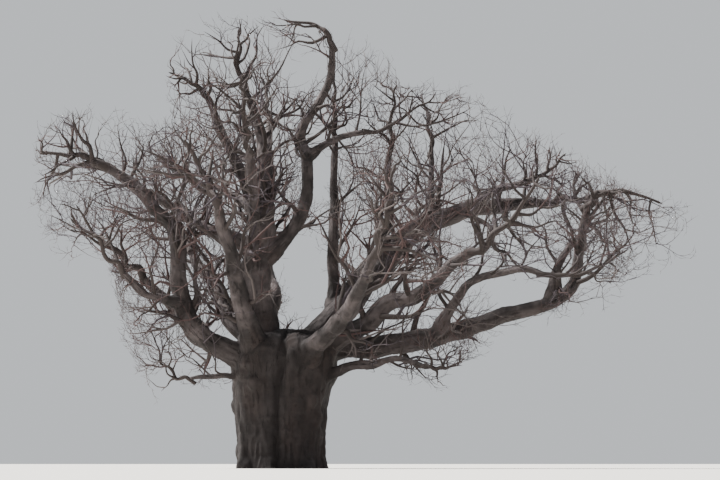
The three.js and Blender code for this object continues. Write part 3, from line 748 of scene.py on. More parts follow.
def bark_relief(places, width, key, heights):
    """How high the bark stands at places on a limb, with flutes of that width."""
    flutes, folds, wrinkles = (
        noise(places / [wide * width, wide * width, long * width], child_key(key, number))
        for number, (wide, long) in enumerate(zip(FORM_WIDTHS, FORM_LENGTHS), 1))
    return heights[0] * flutes + heights[1] * (1 - 2 * np.abs(folds)) + heights[2] * wrinkles


relief = np.zeros(point_count)
groove = np.zeros(point_count)
for number in range(-1, len(LIMBS)):
    mine = np.flatnonzero(owner == number)
    if number < 0:
        relief[mine] = bark_relief(on_limb[mine], BARREL_FLUTE_WIDTH, BARREL_KEY, BARREL_FORMS)
        x, y, height = skin_corners[mine].T
        round_trunk = np.degrees(np.arctan2(-y, x - barrel_shift(height.clip(0))))
        wandering = GROOVE_WANDER * noise(height[:, None] / GROOVE_BEND, GROOVE_KEY)
        for crease in CREASES:
            away = (round_trunk + wandering - crease + 180) % 360 - 180
            groove[mine] += np.exp(-(away / GROOVE_WIDTH) ** 2)
        relief[mine] -= GROOVE_DEPTH * groove[mine]
    else:
        limb = LIMBS[number]
        width = np.clip(BOUGH_FLUTE_WIDTH * np.mean(limb["fine_radii"]), *BOUGH_FLUTE_LIMITS)
        size = np.minimum(owner_radius[mine], THICKEST_RELIEF)
        relief[mine] = size * bark_relief(on_limb[mine], width, limb["key"], BOUGH_FORMS)
relief *= np.clip((second - nearest) / CROTCH_BLEND, 0, 1)
skin_corners += point_normals(skin_corners, skin_faces) * relief[:, None]
print("the bark stands up to", round(float(relief.max()) * 1000), "mm out and",
      round(float(-relief.min()) * 1000), "mm in")

# %% [markdown]
# ## Bark
#
# From far off baobab bark is a dull grey-brown, with weathered patches and faint warm stains. The
# barrel is painted darkest, as painted shade where the crown shades the trunk, and the boughs paler.
# Thin creases run along the limb, and they and the groove up the trunk are darkened with painted
# shade. Up close it is smooth with a leathery grain. Nothing on it shines. The colours come from noise
# in two sets of coordinates: the object's own for weathered patches, and the limb's for the creases,
# which follow every bend.

# %% Mix the bark
def linear(code):
    """The linear colour that a shader takes, from an sRGB hex value."""
    parts = [int(code[i:i + 2], 16) / 255 for i in (0, 2, 4)]
    return [c / 12.92 if c <= 0.04045 else ((c + 0.055) / 1.055) ** 2.4 for c in parts] + [1.0]


PATCH_SIZE = 1.1        # metres between weathered patches
MOTTLE_SIZE = 0.24
CREASE_GAP = 0.11       # metres between creases; real ones are finer, and would not show
GRAIN_SIZE = 0.03
# The barrel's two shades are darker than the boughs': painted shade, for the crown's shadow on the trunk
BARREL_DARKENED_BY_PAINTED_SHADE = "221e1e"
PALE_BARREL_DARKENED_BY_PAINTED_SHADE = "342f2f"
BOUGH_BARK = "2b2727"
BOUGH_BARK_PALE = "5a5252"
# Painted shade, laid into the creases along the limbs and into the groove up the trunk
CREASE_PAINTED_SHADE = "201c1c"
WARM_STAIN = "524541"
SHINE = 0.25            # half of what Blender gives; dry bark hardly shines

# Leathery bark, dull, creased lengthways: it drinks the light and shows form more than gloss
bark.use_nodes = True
tree = bark.node_tree
shader = tree.nodes["Principled BSDF"]
shader.inputs["Specular IOR Level"].default_value = SHINE
add = functools.partial(add_node, tree)
place = add("ShaderNodeTexCoord").outputs["Object"]
limb_place = add("ShaderNodeAttribute", attribute_name="on_limb").outputs["Vector"]
# How much of the barrel's painted shade a point gets
barrel_painted_shade = add("ShaderNodeAttribute", attribute_name="barrel_painted_shade").outputs["Fac"]
# Where the trunk's groove is darkened with painted shade
painted_shade_in_groove = add("ShaderNodeAttribute", attribute_name="groove").outputs["Fac"]
# A pattern's place, how much it is drawn out, its size, what counts as none and as full, and detail
shares = {}
for name, from_place, stretch, size, low, high, detail in (
        ("patches", place, 1, PATCH_SIZE, 0.38, 0.66, 3),
        ("mottle", place, 1, MOTTLE_SIZE, 0.35, 0.7, 3),
        ("stains", limb_place, 0.3, PATCH_SIZE, 0.5, 0.75, 3),
        ("creases", limb_place, 0.16, CREASE_GAP, 0.56, 0.68, 5),
        ("grain", limb_place, 0.5, GRAIN_SIZE, 0.2, 0.8, 6)):
    drawn_out = add("ShaderNodeMapping", {"Vector": from_place, "Scale": (1, 1, stretch)})
    pattern = add("ShaderNodeTexNoise", {
        "Vector": drawn_out, "Scale": 1 / size, "Detail": detail, "Roughness": 0.6})
    shares[name] = add("ShaderNodeMapRange", {"Value": pattern, "From Min": low, "From Max": high})
# Bough bark, painted darker towards the barrel as painted shade from the crown
deep, pale = (
    add("ShaderNodeMix", {0: barrel_painted_shade, 6: linear(bough_colour), 7: linear(barrel_painted_darker)}, data_type="RGBA").outputs[2]
    for bough_colour, barrel_painted_darker in ((BOUGH_BARK, BARREL_DARKENED_BY_PAINTED_SHADE), (BOUGH_BARK_PALE, PALE_BARREL_DARKENED_BY_PAINTED_SHADE)))
colour = add("ShaderNodeMix", {0: shares["patches"], 6: deep, 7: pale}, data_type="RGBA").outputs[2]
# Laid over it: darker mottle, warm stains, and painted shade in the creases and in the trunk's groove
for share, strength, laid_over in (
        (shares["mottle"], 0.4, deep), (shares["stains"], 0.35, linear(WARM_STAIN)),
        (shares["creases"], 0.6, linear(CREASE_PAINTED_SHADE)), (painted_shade_in_groove, 0.8, linear(CREASE_PAINTED_SHADE))):
    weaker = add("ShaderNodeMath", {0: share, 1: strength}, operation="MULTIPLY")
    colour = add("ShaderNodeMix", {0: weaker, 6: colour, 7: laid_over}, data_type="RGBA").outputs[2]
tree.links.new(colour, shader.inputs["Base Color"])
dullness = add("ShaderNodeMapRange", {"Value": shares["mottle"], "To Min": 0.78, "To Max": 0.95})
tree.links.new(dullness.outputs["Result"], shader.inputs["Roughness"])
bumped = {}
for name, distance, strength, sunk in (("creases", 0.04, 0.9, True), ("grain", 0.015, 0.7, False)):
    bump = add("ShaderNodeBump", {
        "Height": shares[name], "Distance": distance, "Strength": strength, **bumped}, invert=sunk)
    bumped = {"Normal": bump}
tree.links.new(bump.outputs["Normal"], shader.inputs["Normal"])
print("the bark has", len(tree.nodes), "nodes")

# %% [markdown]
# ## One piece for each limb
#
# In the part the trunk and each bough are pieces of their own, so the skin is dealt out: a face goes
# to the limb that it grows on, and the collars stay with the trunk. Each piece is closed where it was
# cut, and the cut's edges are marked sharp, so that the hidden caps don't shade the bark beside them.
# The trunk is cut flat at the ground.

# %% Cut the skin into pieces
COLLAR_REACH = 0.25         # metres past the barrel that stay with the trunk
# The barrel's painted shade fades along the boughs over this many metres
BARREL_PAINTED_SHADE_FADE = 1.3      # metres over which the barrel's darker bark fades along the boughs

on_trunk_node = (owner < 0) | (np.array([limb["on"] == "trunk" for limb in LIMBS])[owner]
                               & (barrel_gap < COLLAR_REACH))
label = np.where(on_trunk_node, -1, owner)
face_label = label[skin_faces[:, 0]]
# How much of the barrel's painted shade each point of the skin gets
barrel_painted_shade_values = np.clip(1 - barrel_gap / BARREL_PAINTED_SHADE_FADE, 0, 1)


def bark_piece(name, faces, nodes):
    """The faces as a closed object that stands for the CAD nodes."""
    used, faces = np.unique(faces, return_inverse=True)
    mesh = mesh_of(name, skin_corners[used], faces.reshape(-1, 4))
    along = mesh.attributes.new("on_limb", "FLOAT_VECTOR", "POINT")
    along.data.foreach_set("vector", on_limb[used].astype(np.float32).ravel())
    # The barrel's painted shade and the groove, whose painted shade the bark reads
    set_numbers(mesh, "barrel_painted_shade", barrel_painted_shade_values[used])
    set_numbers(mesh, "groove", groove[used])
    shape = bmesh.new()
    shape.from_mesh(mesh)
    if name == "trunk_bark":
        bmesh.ops.bisect_plane(shape, geom=[*shape.verts, *shape.edges, *shape.faces],
                               plane_co=(0, 0, 0), plane_no=(0, 0, 1), clear_inner=True)
    rims = [edge for edge in shape.edges if edge.is_boundary]
    caps = bmesh.ops.holes_fill(shape, edges=rims, sides=0)["faces"]
    for edge in rims:
        edge.smooth = False
    for face in caps:
        face.smooth = False
    bmesh.ops.triangulate(shape, faces=caps)
    bmesh.ops.recalc_face_normals(shape, faces=shape.faces)
    shape.to_mesh(mesh)
    shape.free()
    mesh.materials.append(bark)
    made = object_of(mesh, name)
    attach(made, "root")
    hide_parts(*nodes)
    return made


bark_piece("trunk_bark", skin_faces[face_label < 0], ["trunk"])
most = 0
for number, limb in enumerate(LIMBS):
    name = limb["name"]
    nodes = [f"{name}_lower", f"{name}_upper"] if name in IN_TWO_NODES else [name]
    made = bark_piece(f"{name}_bark", skin_faces[face_label == number], nodes)
    most = max(most, len(made.data.loops) - 2 * len(made.data.polygons))
print("the largest bough piece has", most, "triangles")

# %% [markdown]
# ## Where twigs may grow
#
# Beyond the tip of each bough lies a space that its twigs fill. A point belongs to the space whose
# middle it is nearest to, counted in that space's own size, so neighbouring masses meet without
# growing through each other. The crown also has an outline, and windows where the sky shows through
# it. Both are given as seen from the camera: heights along the crown's top and underside, and an
# ellipse for each window. The part's own twigs keep to them exactly. The finer ones go past them in
# some places and stop short of them in others, because a real crown is ragged and has no sharp edge.

# %% Lay out the twigs' spaces
EDGE_ROOM = 0.03        # metres kept to the CAD part's box, for the thickness of a twig
LOWEST_TWIG = 1.9
CELL_MARGIN = 0.035     # kept to the next space, in sizes of a space
TWIG_CLEARANCE = 0.025
ROOM_STEP = 0.1         # metres between the places where room is looked for
TRUNK_CORE = (0, 0, 0), (0.2, 0, 4.3), 2.1      # a fat line that stands for the trunk: ends and radius
AT_ONCE = 4000          # stretches that are measured at once, to save memory
TINY = 1e-12
CROWN_TOP = [
    (-9.6, 9.6), (-9.3, 12.6), (-8.2, 13.6), (-6.2, 13.6), (-5.3, 12.7), (-4.5, 12.8),
    (-4.4, 15.4), (-3.7, 16.2), (-2.4, 16.8), (-1.2, 17.15), (0.2, 17.05), (2.2, 16.7),
    (3.4, 15.9), (4.6, 14.5), (6.4, 14.4), (7.9, 13.9), (8.9, 12.9), (10.6, 12.2),
    (11.9, 11), (13.5, 10.2), (15.5, 9.8),
]
CROWN_UNDERSIDE = [
    (-9.6, 9.3), (-8.2, 8.5), (-6.6, 7.9), (-6.1, 5.4), (-5.2, 3.1), (-2.5, 2.9),
    (2.5, 3.9), (4.7, 3.5), (6.3, 2.9), (7.7, 4.7), (10.6, 5.9), (12.3, 6.5),
    (13.5, 7.4), (15.5, 7.9),
]
OPEN_SKY = [    # across, up, half width and half height
    (0.95, 7.3, 1, 1.7), (1.4, 10.9, 0.65, 1.25), (0.8, 15.1, 0.8, 0.7),
    (6.6, 9, 0.45, 0.45), (8.4, 6.8, 1.5, 0.55), (2.9, 2.7, 1.3, 0.8), (-4.9, 13.9, 0.9, 0.9),
]
SHARE_OF_WINDOW = 0.75      # the most of a window's half width that fine twigs take up
UP = np.array([0.0, 0.0, 1.0])

crowned = [limb for limb in LIMBS if limb["crown"]]
space_middles, space_sizes = [], []
for limb in crowned:
    out, up, half_width, half_height = limb["crown"]
    space_middles.append(limb["points"][-1] + direction(limb["heading"] + limb["turn"], 0) * out + UP * up)
    space_sizes.append((half_width, half_width, half_height))
space_middles, space_sizes = np.array(space_middles), np.array(space_sizes)
box_low, box_high = np.array(cad_low) + EDGE_ROOM, np.array(cad_high) - EDGE_ROOM
box_low[2] = LOWEST_TWIG


def in_open_sky(points, past):
    """Whether points lie outside the crown's outline or in a window, more than their own share past it."""
    nearer = VIEW_DISTANCE / (VIEW_DISTANCE + points[:, 1])
    across = points[:, 0] * nearer
    up = EYE_HEIGHT + (points[:, 2] - EYE_HEIGHT) * nearer
    outside = ((up > np.interp(across, *np.transpose(CROWN_TOP)) + past)
               | (up < np.interp(across, *np.transpose(CROWN_UNDERSIDE)) - past))
    for x, z, half_width, half_height in OPEN_SKY:
        width = half_width - np.minimum(past, SHARE_OF_WINDOW * half_width)
        height = half_height - np.minimum(past, SHARE_OF_WINDOW * half_height)
        outside |= np.hypot((across - x) / width, (up - z) / height) < 1
    return outside


def belongs(points, space, free, past):
    """Whether points are in the crown and, unless their twig is free of it, in their own space."""
    inside = np.all((points > box_low) & (points < box_high), axis=1) & ~in_open_sky(points, past)
    bound = np.flatnonzero(inside & ~free)
    depth = np.linalg.norm((points[bound, None] - space_middles) / space_sizes, axis=2)
    rows = np.arange(len(bound))
    own = depth[rows, space[bound]]
    depth[rows, space[bound]] = np.inf
    inside[bound] = (own < 1) & (own < depth.min(axis=1) - CELL_MARGIN)
    return inside


def room_ahead(start, way, space, free, past, most):
    """How far each point can go in its direction, up to the most, before it leaves its space."""
    room = np.zeros(len(start))
    going = np.ones(len(start), bool)
    for step in range(1, round(most / ROOM_STEP) + 1):
        rows = np.flatnonzero(going)
        if not len(rows):
            break
        ahead = start[rows] + way[rows] * (ROOM_STEP * step)
        going[rows] = belongs(ahead, space[rows], free[rows], past[rows])
        room[rows[going[rows]]] = ROOM_STEP * step
    return room


wood_from = np.concatenate([[TRUNK_CORE[0]], *[limb["points"][:-1] for limb in LIMBS]])
wood_to = np.concatenate([[TRUNK_CORE[1]], *[limb["points"][1:] for limb in LIMBS]])
wood_radius = np.concatenate([[TRUNK_CORE[2]], *[limb["radii"][:-1] for limb in LIMBS]])


def clear_of_wood(start, end, radius):
    """Whether straight stretches of twigs pass every limb and the trunk without touching."""
    clear = np.empty(len(start), bool)
    for first in range(0, len(start), AT_ONCE):
        part = slice(first, first + AT_ONCE)
        u = (end[part] - start[part])[:, None]
        v = wood_to - wood_from
        w = start[part, None] - wood_from
        uu, vv = np.sum(u * u, axis=2), np.sum(v * v, axis=1)
        uv, uw, vw = np.sum(u * v, axis=2), np.sum(u * w, axis=2), np.sum(v * w, axis=2)
        bottom = uu * vv - uv * uv
        s = np.clip((uv * vw - vv * uw) / np.where(bottom > TINY, bottom, np.inf), 0, 1)
        t = np.clip((uv * s + vw) / vv, 0, 1)
        s = np.clip((uv * t - uw) / np.maximum(uu, TINY), 0, 1)
        apart = np.linalg.norm(w + u * s[..., None] - v * t[..., None], axis=2)
        clear[part] = np.all(apart > wood_radius + radius[part, None] + TWIG_CLEARANCE, axis=1)
    return clear


print(len(crowned), "spaces for twigs")

# %% [markdown]
# ## The twigs' rule
#
# From the tip of each bough a stem bends over through its space. Branches leave it at a wide angle,
# on sides that the golden angle deals out, lift a little, and go most of the way to the edge of the
# space. Their twigs do the same. The CAD part stops there. Here each level also gets twigs between
# the ones of the part, and three finer levels follow, down to spurs as thin as a finger, with fewer
# of them high up, where the crown is thin. A twig that loses its tip goes on from a side bud, which
# gives a baobab its crooked twigs: each path is pushed aside at its bends and then rounded. A whole
# level is worked out at once, as arrays.

# %% Grow one level of twigs from another
TWIG_TAPER = 0.6
GOLDEN_ANGLE = 137.5
TWIG_LIFT = 0.16

# A row for each level of twigs. `children` are the part's own branches of such a twig and `finer`
# the ones between them; `begin`, `angle` and `reach` are theirs too, and the rest is the twig's own.
# A path has few `steps`. `bends` makes more of them, `crook` pushes each one aside by that share of
# the length, and `soft` then rounds the path. `past` is how far it may reach past the crown's edges.
TWIG_SIZES = ("children", "finer", "begin", "angle", "reach", "steps", "bends", "soft", "crook", "sides",
              "thickness", "least", "longest", "shortest", "waver", "past")
TWIG_LEVELS = [dict(zip(TWIG_SIZES, row)) for row in (
    (7, 3, 0.05, (46, 88), (0.86, 1), 4, 2, 3, 0.035, 10),
    (3, 1, 0.25, (34, 60), (0.7, 0.96), 2, 2, 3, 0.06, 7, 0.68, 0.022, 3.2, 0.52, 0.2, 0.3),
    (0, 3, 0.15, (26, 60), (0.5, 1), 1, 4, 2, 0.08, 5, 0.68, 0.022, 3.2, 0.52, 0.2, 0.6),
    (0, 3, 0.15, (26, 60), (0.4, 1), 4, 1, 1, 0, 4, 0.6, 0.012, 1.5, 0.25, 0.24, 0.8),
    (0, 2, 0.3, (26, 60), (0.5, 1), 3, 1, 1, 0, 3, 0.66, 0.008, 0.8, 0.15, 0.28, 1),
    (0, 0, 0, (0, 0), (0, 0), 2, 1, 1, 0, 3, 0.75, 0.006, 0.35, 0.1, 0.3, 1.1),
)]
FINER_KEY = 40      # the keys of the finer twigs start here, past those of the part's own
COLLAR = 1.3        # how much a twig widens at its foot
THINNER_ABOVE = (9.5, 13.5), (1, 0.45)      # heights, and the share of the finest twigs kept there
CLUMP_SIZE = 1.7        # metres between places where the finest twigs go past the edge or stop short
TINTS = 3
PART_LEVELS = 3         # stems, branches and twigs: the levels that the part has too
SHORTER = 1, 0.7, 0.5   # a twig that doesn't fit is tried again at these shares of its length
# What the draws of a twig's key are for
PLACE, ROUND, ANGLE, LENGTH, PAST_EDGE, KEPT, TINT = 1, 2, 3, 4, 7, 8, 50
CROOKS = 60
SWERVES = (10, 0.5), (20, 0.5), (30, 0.3)       # along each axis, with the draw that goes straight on
CLUMP_KEY = 907


def twig_set(level, points, radii, key, space, free, tint, first_ahead=None):
    """Twigs of one level with all that their branches and their meshes need."""
    own = TWIG_LEVELS[level]
    _, side, other = frames_along(points, first_ahead)
    drawn = softened(points, own["bends"])
    length = np.linalg.norm(points[:, -1] - points[:, 0], axis=1)[:, None]
    for i in range(1, drawn.shape[1] - 1):
        crooked = np.stack([draw(key, CROOKS + 3 * i + axis) - 0.5 for axis in range(3)], axis=1)
        drawn[:, i] += 2 * own["crook"] * length * crooked
    drawn = np.clip(softened(drawn, own["soft"]), box_low, box_high)
    places = np.linspace(0, points.shape[1] - 1, drawn.shape[1])
    low = np.minimum(places.astype(int), points.shape[1] - 2)
    drawn_radii = radii[:, low] + (radii[:, low + 1] - radii[:, low]) * (places - low)
    return dict(points=points, radii=radii, side=side, other=other, drawn=drawn, drawn_radii=drawn_radii,
                key=key, space=space, free=free, tint=tint)


def settled(start, way, length, radius, key, space, free, tint, past, level):
    """The twigs whose path stays in their space and clear of the limbs, if need be made shorter."""
    own = TWIG_LEVELS[level]
    ways = [way]
    for i in range(own["steps"] - 1):
        waver = np.stack([draw(key, first + i) - straight for first, straight in SWERVES], axis=1)
        ways.append(unit(ways[-1] + waver * 2 * own["waver"]))
    steps = np.cumsum(ways, axis=0).transpose(1, 0, 2) / own["steps"]
    taper = (1 - np.arange(own["steps"] + 1) / own["steps"]) ** TWIG_TAPER

    def paths_of(rows, lengths):
        path = start[rows, None] + steps[rows] * lengths[:, None, None]
        return np.concatenate([start[rows, None], path], axis=1)

    chosen = np.zeros(len(key))
    for shorter in SHORTER:
        rows = np.flatnonzero((chosen == 0) & (length * shorter >= own["shortest"]))
        path = paths_of(rows, length[rows] * shorter)
        fits = np.ones(len(rows), bool)
        for i in range(own["steps"]):
            fits &= belongs(path[:, i + 1], space[rows], free[rows], past[rows])
            if level < PART_LEVELS:
                leaves_limb = free[rows] & (i == 0)
                fits &= leaves_limb | clear_of_wood(path[:, i], path[:, i + 1], radius[rows] * taper[i])
        chosen[rows[fits]] = shorter
    rows = np.flatnonzero(chosen)
    return twig_set(level, paths_of(rows, length[rows] * chosen[rows]), radius[rows, None] * taper,
                    key[rows], space[rows], free[rows], tint[rows])


def spaced_out(index, count, begin, key):
    """The shares of a length at which its branches stand: one in each of so many equal stretches."""
    return begin + (1 - begin) * (index + 0.2 + 0.6 * draw(key, PLACE)) / count


def grown_from(parents, level, first, count):
    """The branches that fit, of every twig of a level. Their keys are numbered from the first."""
    rule, own = TWIG_LEVELS[level], TWIG_LEVELS[level + 1]
    parent = np.repeat(np.arange(len(parents["key"])), count)
    index = np.tile(np.arange(count, dtype=np.uint64), len(parents["key"]))
    key = child_key(parents["key"][parent], index + np.uint64(first))
    finest = level + 1 >= PART_LEVELS
    if finest:
        kept = draw(key, KEPT) < np.interp(parents["points"][parent, 0, 2], *THINNER_ABOVE)
        parent, index, key = parent[kept], index[kept], key[kept]
    share = spaced_out(index, count, rule["begin"], key)
    points, drawn = parents["points"], parents["drawn"]
    place = share * (points.shape[1] - 1)
    i = np.minimum(place.astype(int), points.shape[1] - 2)
    ahead = unit(points[parent, i + 1] - points[parent, i])
    round_angle = np.radians(GOLDEN_ANGLE * index + 360 * draw(parents["key"][parent], ROUND))[:, None]
    out = np.radians(between(key, ANGLE, rule["angle"]))[:, None]
    sideways = (parents["side"][parent, i] * np.cos(round_angle)
                + parents["other"][parent, i] * np.sin(round_angle))
    way = unit(ahead * np.cos(out) + sideways * np.sin(out) + UP * TWIG_LIFT)
    drawn_place = share * (drawn.shape[1] - 1)
    j = np.minimum(drawn_place.astype(int), drawn.shape[1] - 2)
    part = drawn_place - j
    start, here = ((rows[parent, j].T * (1 - part) + rows[parent, j + 1].T * part).T
                   for rows in (drawn, parents["drawn_radii"]))
    space = parents["space"][parent]
    free = parents["free"][parent] | finest
    clump = noise(start / CLUMP_SIZE, CLUMP_KEY)
    past = (first > 0) * own["past"] * (0.5 * draw(key, PAST_EDGE) + clump)
    room = room_ahead(start, way, space, free, past, own["longest"])
    length = between(key, LENGTH, rule["reach"]) * room
    radius = np.maximum(own["thickness"] * here, own["least"])
    tint = parents["tint"][parent]
    if level == 1:
        tint = 1 + (draw(key, TINT) * TINTS).astype(int)
    return settled(start, way, length, radius, key, space, free, tint, past, level + 1)


def both(first, second):
    return {name: np.concatenate([first[name], second[name]]) for name in first}


# %% Grow the stems
STEM_REACH = 0.85       # of the room beyond the middle of the space
STEM_LIFT = 0.15
STEM_BEND = 0.4         # how far it first goes on the way of its bough, of the whole way
STEM_FOOT_SHARE, STEM_TIP_SHARE = 0.97, 0.45        # of the bough's tip
LONGEST_STEM = 6.0      # metres beyond the middle of the space
STEM_KEY = 77

stem_paths, stem_radii, stem_keys, stem_ahead = [], [], [], []
for space, limb in enumerate(crowned):
    tip, tip_radius, ahead, _ = station(limb, 1)
    middle = space_middles[space]
    onward = unit(unit(middle - tip) + UP * STEM_LIFT)
    room = room_ahead(middle[None], onward[None], np.array([space]), np.array([False]), np.zeros(1),
                      LONGEST_STEM)[0]
    end = middle + onward * STEM_REACH * room
    bend = tip + ahead * STEM_BEND * np.linalg.norm(end - tip)
    t = np.linspace(0, 1, TWIG_LEVELS[0]["steps"] + 1)[:, None]
    stem_paths.append(tip * (1 - t) ** 2 + 2 * bend * t * (1 - t) + end * t**2)
    stem_radii.append(tip_radius * (STEM_FOOT_SHARE * (1 - t) + STEM_TIP_SHARE * t)[:, 0])
    stem_keys.append(child_key(limb["key"], STEM_KEY))
    stem_ahead.append(ahead)
nothing = np.zeros(len(crowned), int)
levels = [twig_set(0, np.array(stem_paths), np.array(stem_radii), np.array(stem_keys, np.uint64),
                   np.arange(len(crowned)), nothing.astype(bool), nothing, np.array(stem_ahead))]

# %% [markdown]
# A real bough isn't bare up to its tip. Shoots stand along its outer part, and they fill the crown
# between the masses. They follow the same rule, but they belong to no space: only the crown's limits
# and the open sky hold them back.

# %% Grow shoots along the limbs
SHOOT_GAP = 0.7             # metres between shoots
SHOOTS_FROM = 0.14          # of the limb's length
SHOOT_LENGTH = (1.4, 3.8)
SHOOT_ANGLE = (48, 84)
SHOOT_THICKNESS = 0.4       # of the limb's
THICKEST_SHOOT = 0.13
SHOOT_LIFT = 2 * TWIG_LIFT
CLEAR_OF_LIMB = 0.6         # metres out, where its room begins
FIRST_SHOOT_KEY, SHOOT_ROUND = 300, 301

starts, ways, radii, keys, spaces = [], [], [], [], []
for limb in LIMBS:
    count = round(limb["length"] * (1 - SHOOTS_FROM) / SHOOT_GAP)
    for index in range(count):
        key = child_key(limb["key"], FIRST_SHOOT_KEY + index)
        share = spaced_out(index, count, SHOOTS_FROM, key)
        _, radius, ahead, side = station(limb, share)
        place = share * (len(limb["fine_points"]) - 1)
        start = np.array([np.interp(place, np.arange(len(limb["fine_points"])), limb["fine_points"][:, axis])
                          for axis in range(3)])
        round_angle = math.radians(GOLDEN_ANGLE * index + 360 * draw(limb["key"], SHOOT_ROUND))
        out = math.radians(between(key, ANGLE, SHOOT_ANGLE))
        sideways = side * math.cos(round_angle) + np.cross(ahead, side) * math.sin(round_angle)
        starts.append(start)
        ways.append(unit(ahead * math.cos(out) + sideways * math.sin(out) + UP * SHOOT_LIFT))
        radii.append(min(SHOOT_THICKNESS * radius, THICKEST_SHOOT))
        keys.append(key)
        spaces.append(crowned.index(limb) if limb in crowned else len(crowned) - 1)
starts, ways, keys = np.array(starts), np.array(ways), np.array(keys, np.uint64)
spaces, free = np.array(spaces), np.ones(len(keys), bool)
room = room_ahead(starts + ways * CLEAR_OF_LIMB, ways, spaces, free, np.zeros(len(keys)), SHOOT_LENGTH[1])
shoots = settled(starts, ways, np.minimum(between(keys, LENGTH, SHOOT_LENGTH), room), np.array(radii),
                 keys, spaces, free, np.zeros(len(keys), int), np.zeros(len(keys)), 1)
print(len(shoots["key"]), "shoots along the limbs")

# %% Grow the finer levels
for level in range(len(TWIG_LEVELS) - 1):
    rule = TWIG_LEVELS[level]
    grown = grown_from(levels[level], level, FINER_KEY, rule["finer"])
    if rule["children"]:
        grown = both(grown_from(levels[level], level, 0, rule["children"]), grown)
    if level == 0:
        grown = both(grown, shoots)
    levels.append(grown)
    print("level", level + 1, "has", len(grown["key"]), "twigs")

# %% [markdown]
# ## Twig bark
#
# Twigs are reddish to purplish grey-brown, and no two sprays have quite the same shade. The colour
# goes with the spray, not with a pattern on it, so each shade is a plain colour of its own and whole
# sprays are dealt out between them. Fine grain makes their surface dull.

# %% Mix the twigs' bark
ROUGHNESS_SPREAD = 0.08


def twig_bark(name, colour, roughness, wrinkles):
    """Dry twig bark in one plain shade. Its wrinkles, so many metres apart, take the shine off."""
    made = bpy.data.materials.new(name)
    made.use_nodes = True
    tree = made.node_tree
    shader = tree.nodes["Principled BSDF"]
    shader.inputs["Base Color"].default_value = linear(colour)
    shader.inputs["Specular IOR Level"].default_value = SHINE
    place = add_node(tree, "ShaderNodeTexCoord").outputs["Object"]
    grain = add_node(tree, "ShaderNodeTexNoise", {"Vector": place, "Scale": 1 / wrinkles, "Detail": 3})
    rough = add_node(tree, "ShaderNodeMapRange", {
        "Value": grain, "To Min": roughness - ROUGHNESS_SPREAD, "To Max": roughness + ROUGHNESS_SPREAD})
    tree.links.new(rough.outputs["Result"], shader.inputs["Roughness"])
    bump = add_node(tree, "ShaderNodeBump", {"Height": grain, "Distance": wrinkles / 3, "Strength": 0.6})
    tree.links.new(bump.outputs["Normal"], shader.inputs["Normal"])
    return made


twig_barks = [
    twig_bark("branch_bark_grey_brown", "36302f", 0.88, 0.07),
    twig_bark("twig_bark_red_brown", "453635", 0.85, 0.03),
    twig_bark("twig_bark_purple_grey", "3d363a", 0.85, 0.03),
    twig_bark("twig_bark_dry_grey", "504948", 0.9, 0.03),
]

# %% [markdown]
# ## A piece for each mass
#
# All the twigs of a space become one mesh, with the shoots of its bough. A second tree of Geometry
# Nodes runs the tubes: stems get ten sides and spurs only three, because nobody sees more on a twig
# as thin as a finger. It deals out the barks by the number of the spray. The stem starts inside the
# end of its bough, as thick as the bough there, so the wood runs on unbroken.

# %% Build the twigs' tree
SAME = 0.4      # numbers closer than this are the same level or the same shade

twig_values = {f"Sides of Level {level}": own["sides"] for level, own in enumerate(TWIG_LEVELS)}
twig_values.update({material.name: material for material in twig_barks})
twig_tree = geometry_tree("twig_wood", twig_values)
add = functools.partial(add_node, twig_tree)
given = add("NodeGroupInput").outputs
level_of, tint_of = (
    add("GeometryNodeInputNamedAttribute", {"Name": name}, data_type="FLOAT") for name in ("level", "tint"))
all_wood = add("GeometryNodeJoinGeometry")
for level in range(len(TWIG_LEVELS)):
    of_level = add("FunctionNodeCompare", {0: level_of, 1: float(level), "Epsilon": SAME}, operation="EQUAL")
    paths = add("GeometryNodeSeparateGeometry", {"Geometry": given["Geometry"], "Selection": of_level},
                domain="POINT")
    wood = add_tubes(twig_tree, paths.outputs["Selection"], given[f"Sides of Level {level}"])
    twig_tree.links.new(wood, all_wood.inputs[0])
tinted = add("GeometryNodeRealizeInstances", {"Geometry": all_wood})
for tint, material in enumerate(twig_barks):
    of_tint = add("FunctionNodeCompare", {0: tint_of, 1: float(tint), "Epsilon": SAME}, operation="EQUAL")
    tinted = add("GeometryNodeSetMaterial", {
        "Geometry": tinted, "Selection": of_tint, "Material": given[material.name]})
add("NodeGroupOutput", {"Geometry": tinted})
print("the twigs' tree has", len(twig_tree.nodes), "nodes")

# %% Draw the twigs
STEM_SINK = 0.3     # metres that a stem starts inside its bough
DRAWN_TAPER = 0.75  # a drawn twig thins faster than the part's, which are thicker to stay solid
STEM_THINNING = 0.4     # how much thinner than the part's a drawn stem is at its tip
KNOT_GAP = 0.16     # metres between places where a twig swells round its old buds
KNOT_SWELLING = 0.2     # of the twig's radius
KNOT_KEY = 911


def drawn_paths(twigs, level, rows):
    """The points and radii of twigs as they are drawn."""
    paths, radii = twigs["drawn"][rows], twigs["drawn_radii"][rows].copy()
    share = np.linspace(0, 1, radii.shape[1])
    if level == 0:
        radii *= 1 - STEM_THINNING * share**2
        foot = paths[:, :1] + unit(paths[:, :1] - paths[:, 1:2]) * STEM_SINK
        paths = np.concatenate([foot, paths], axis=1)
        radii = np.concatenate([radii[:, :1], radii], axis=1)
    else:
        radii = radii[:, :1] * (1 - share) ** DRAWN_TAPER
        radii[:, 0] *= COLLAR
    if level < PART_LEVELS:
        knots = noise(paths.reshape(-1, 3) / KNOT_GAP, KNOT_KEY).reshape(radii.shape)
        radii *= 1 + KNOT_SWELLING * knots
    radii[:, -1] = TIP_RADIUS
    return paths, radii


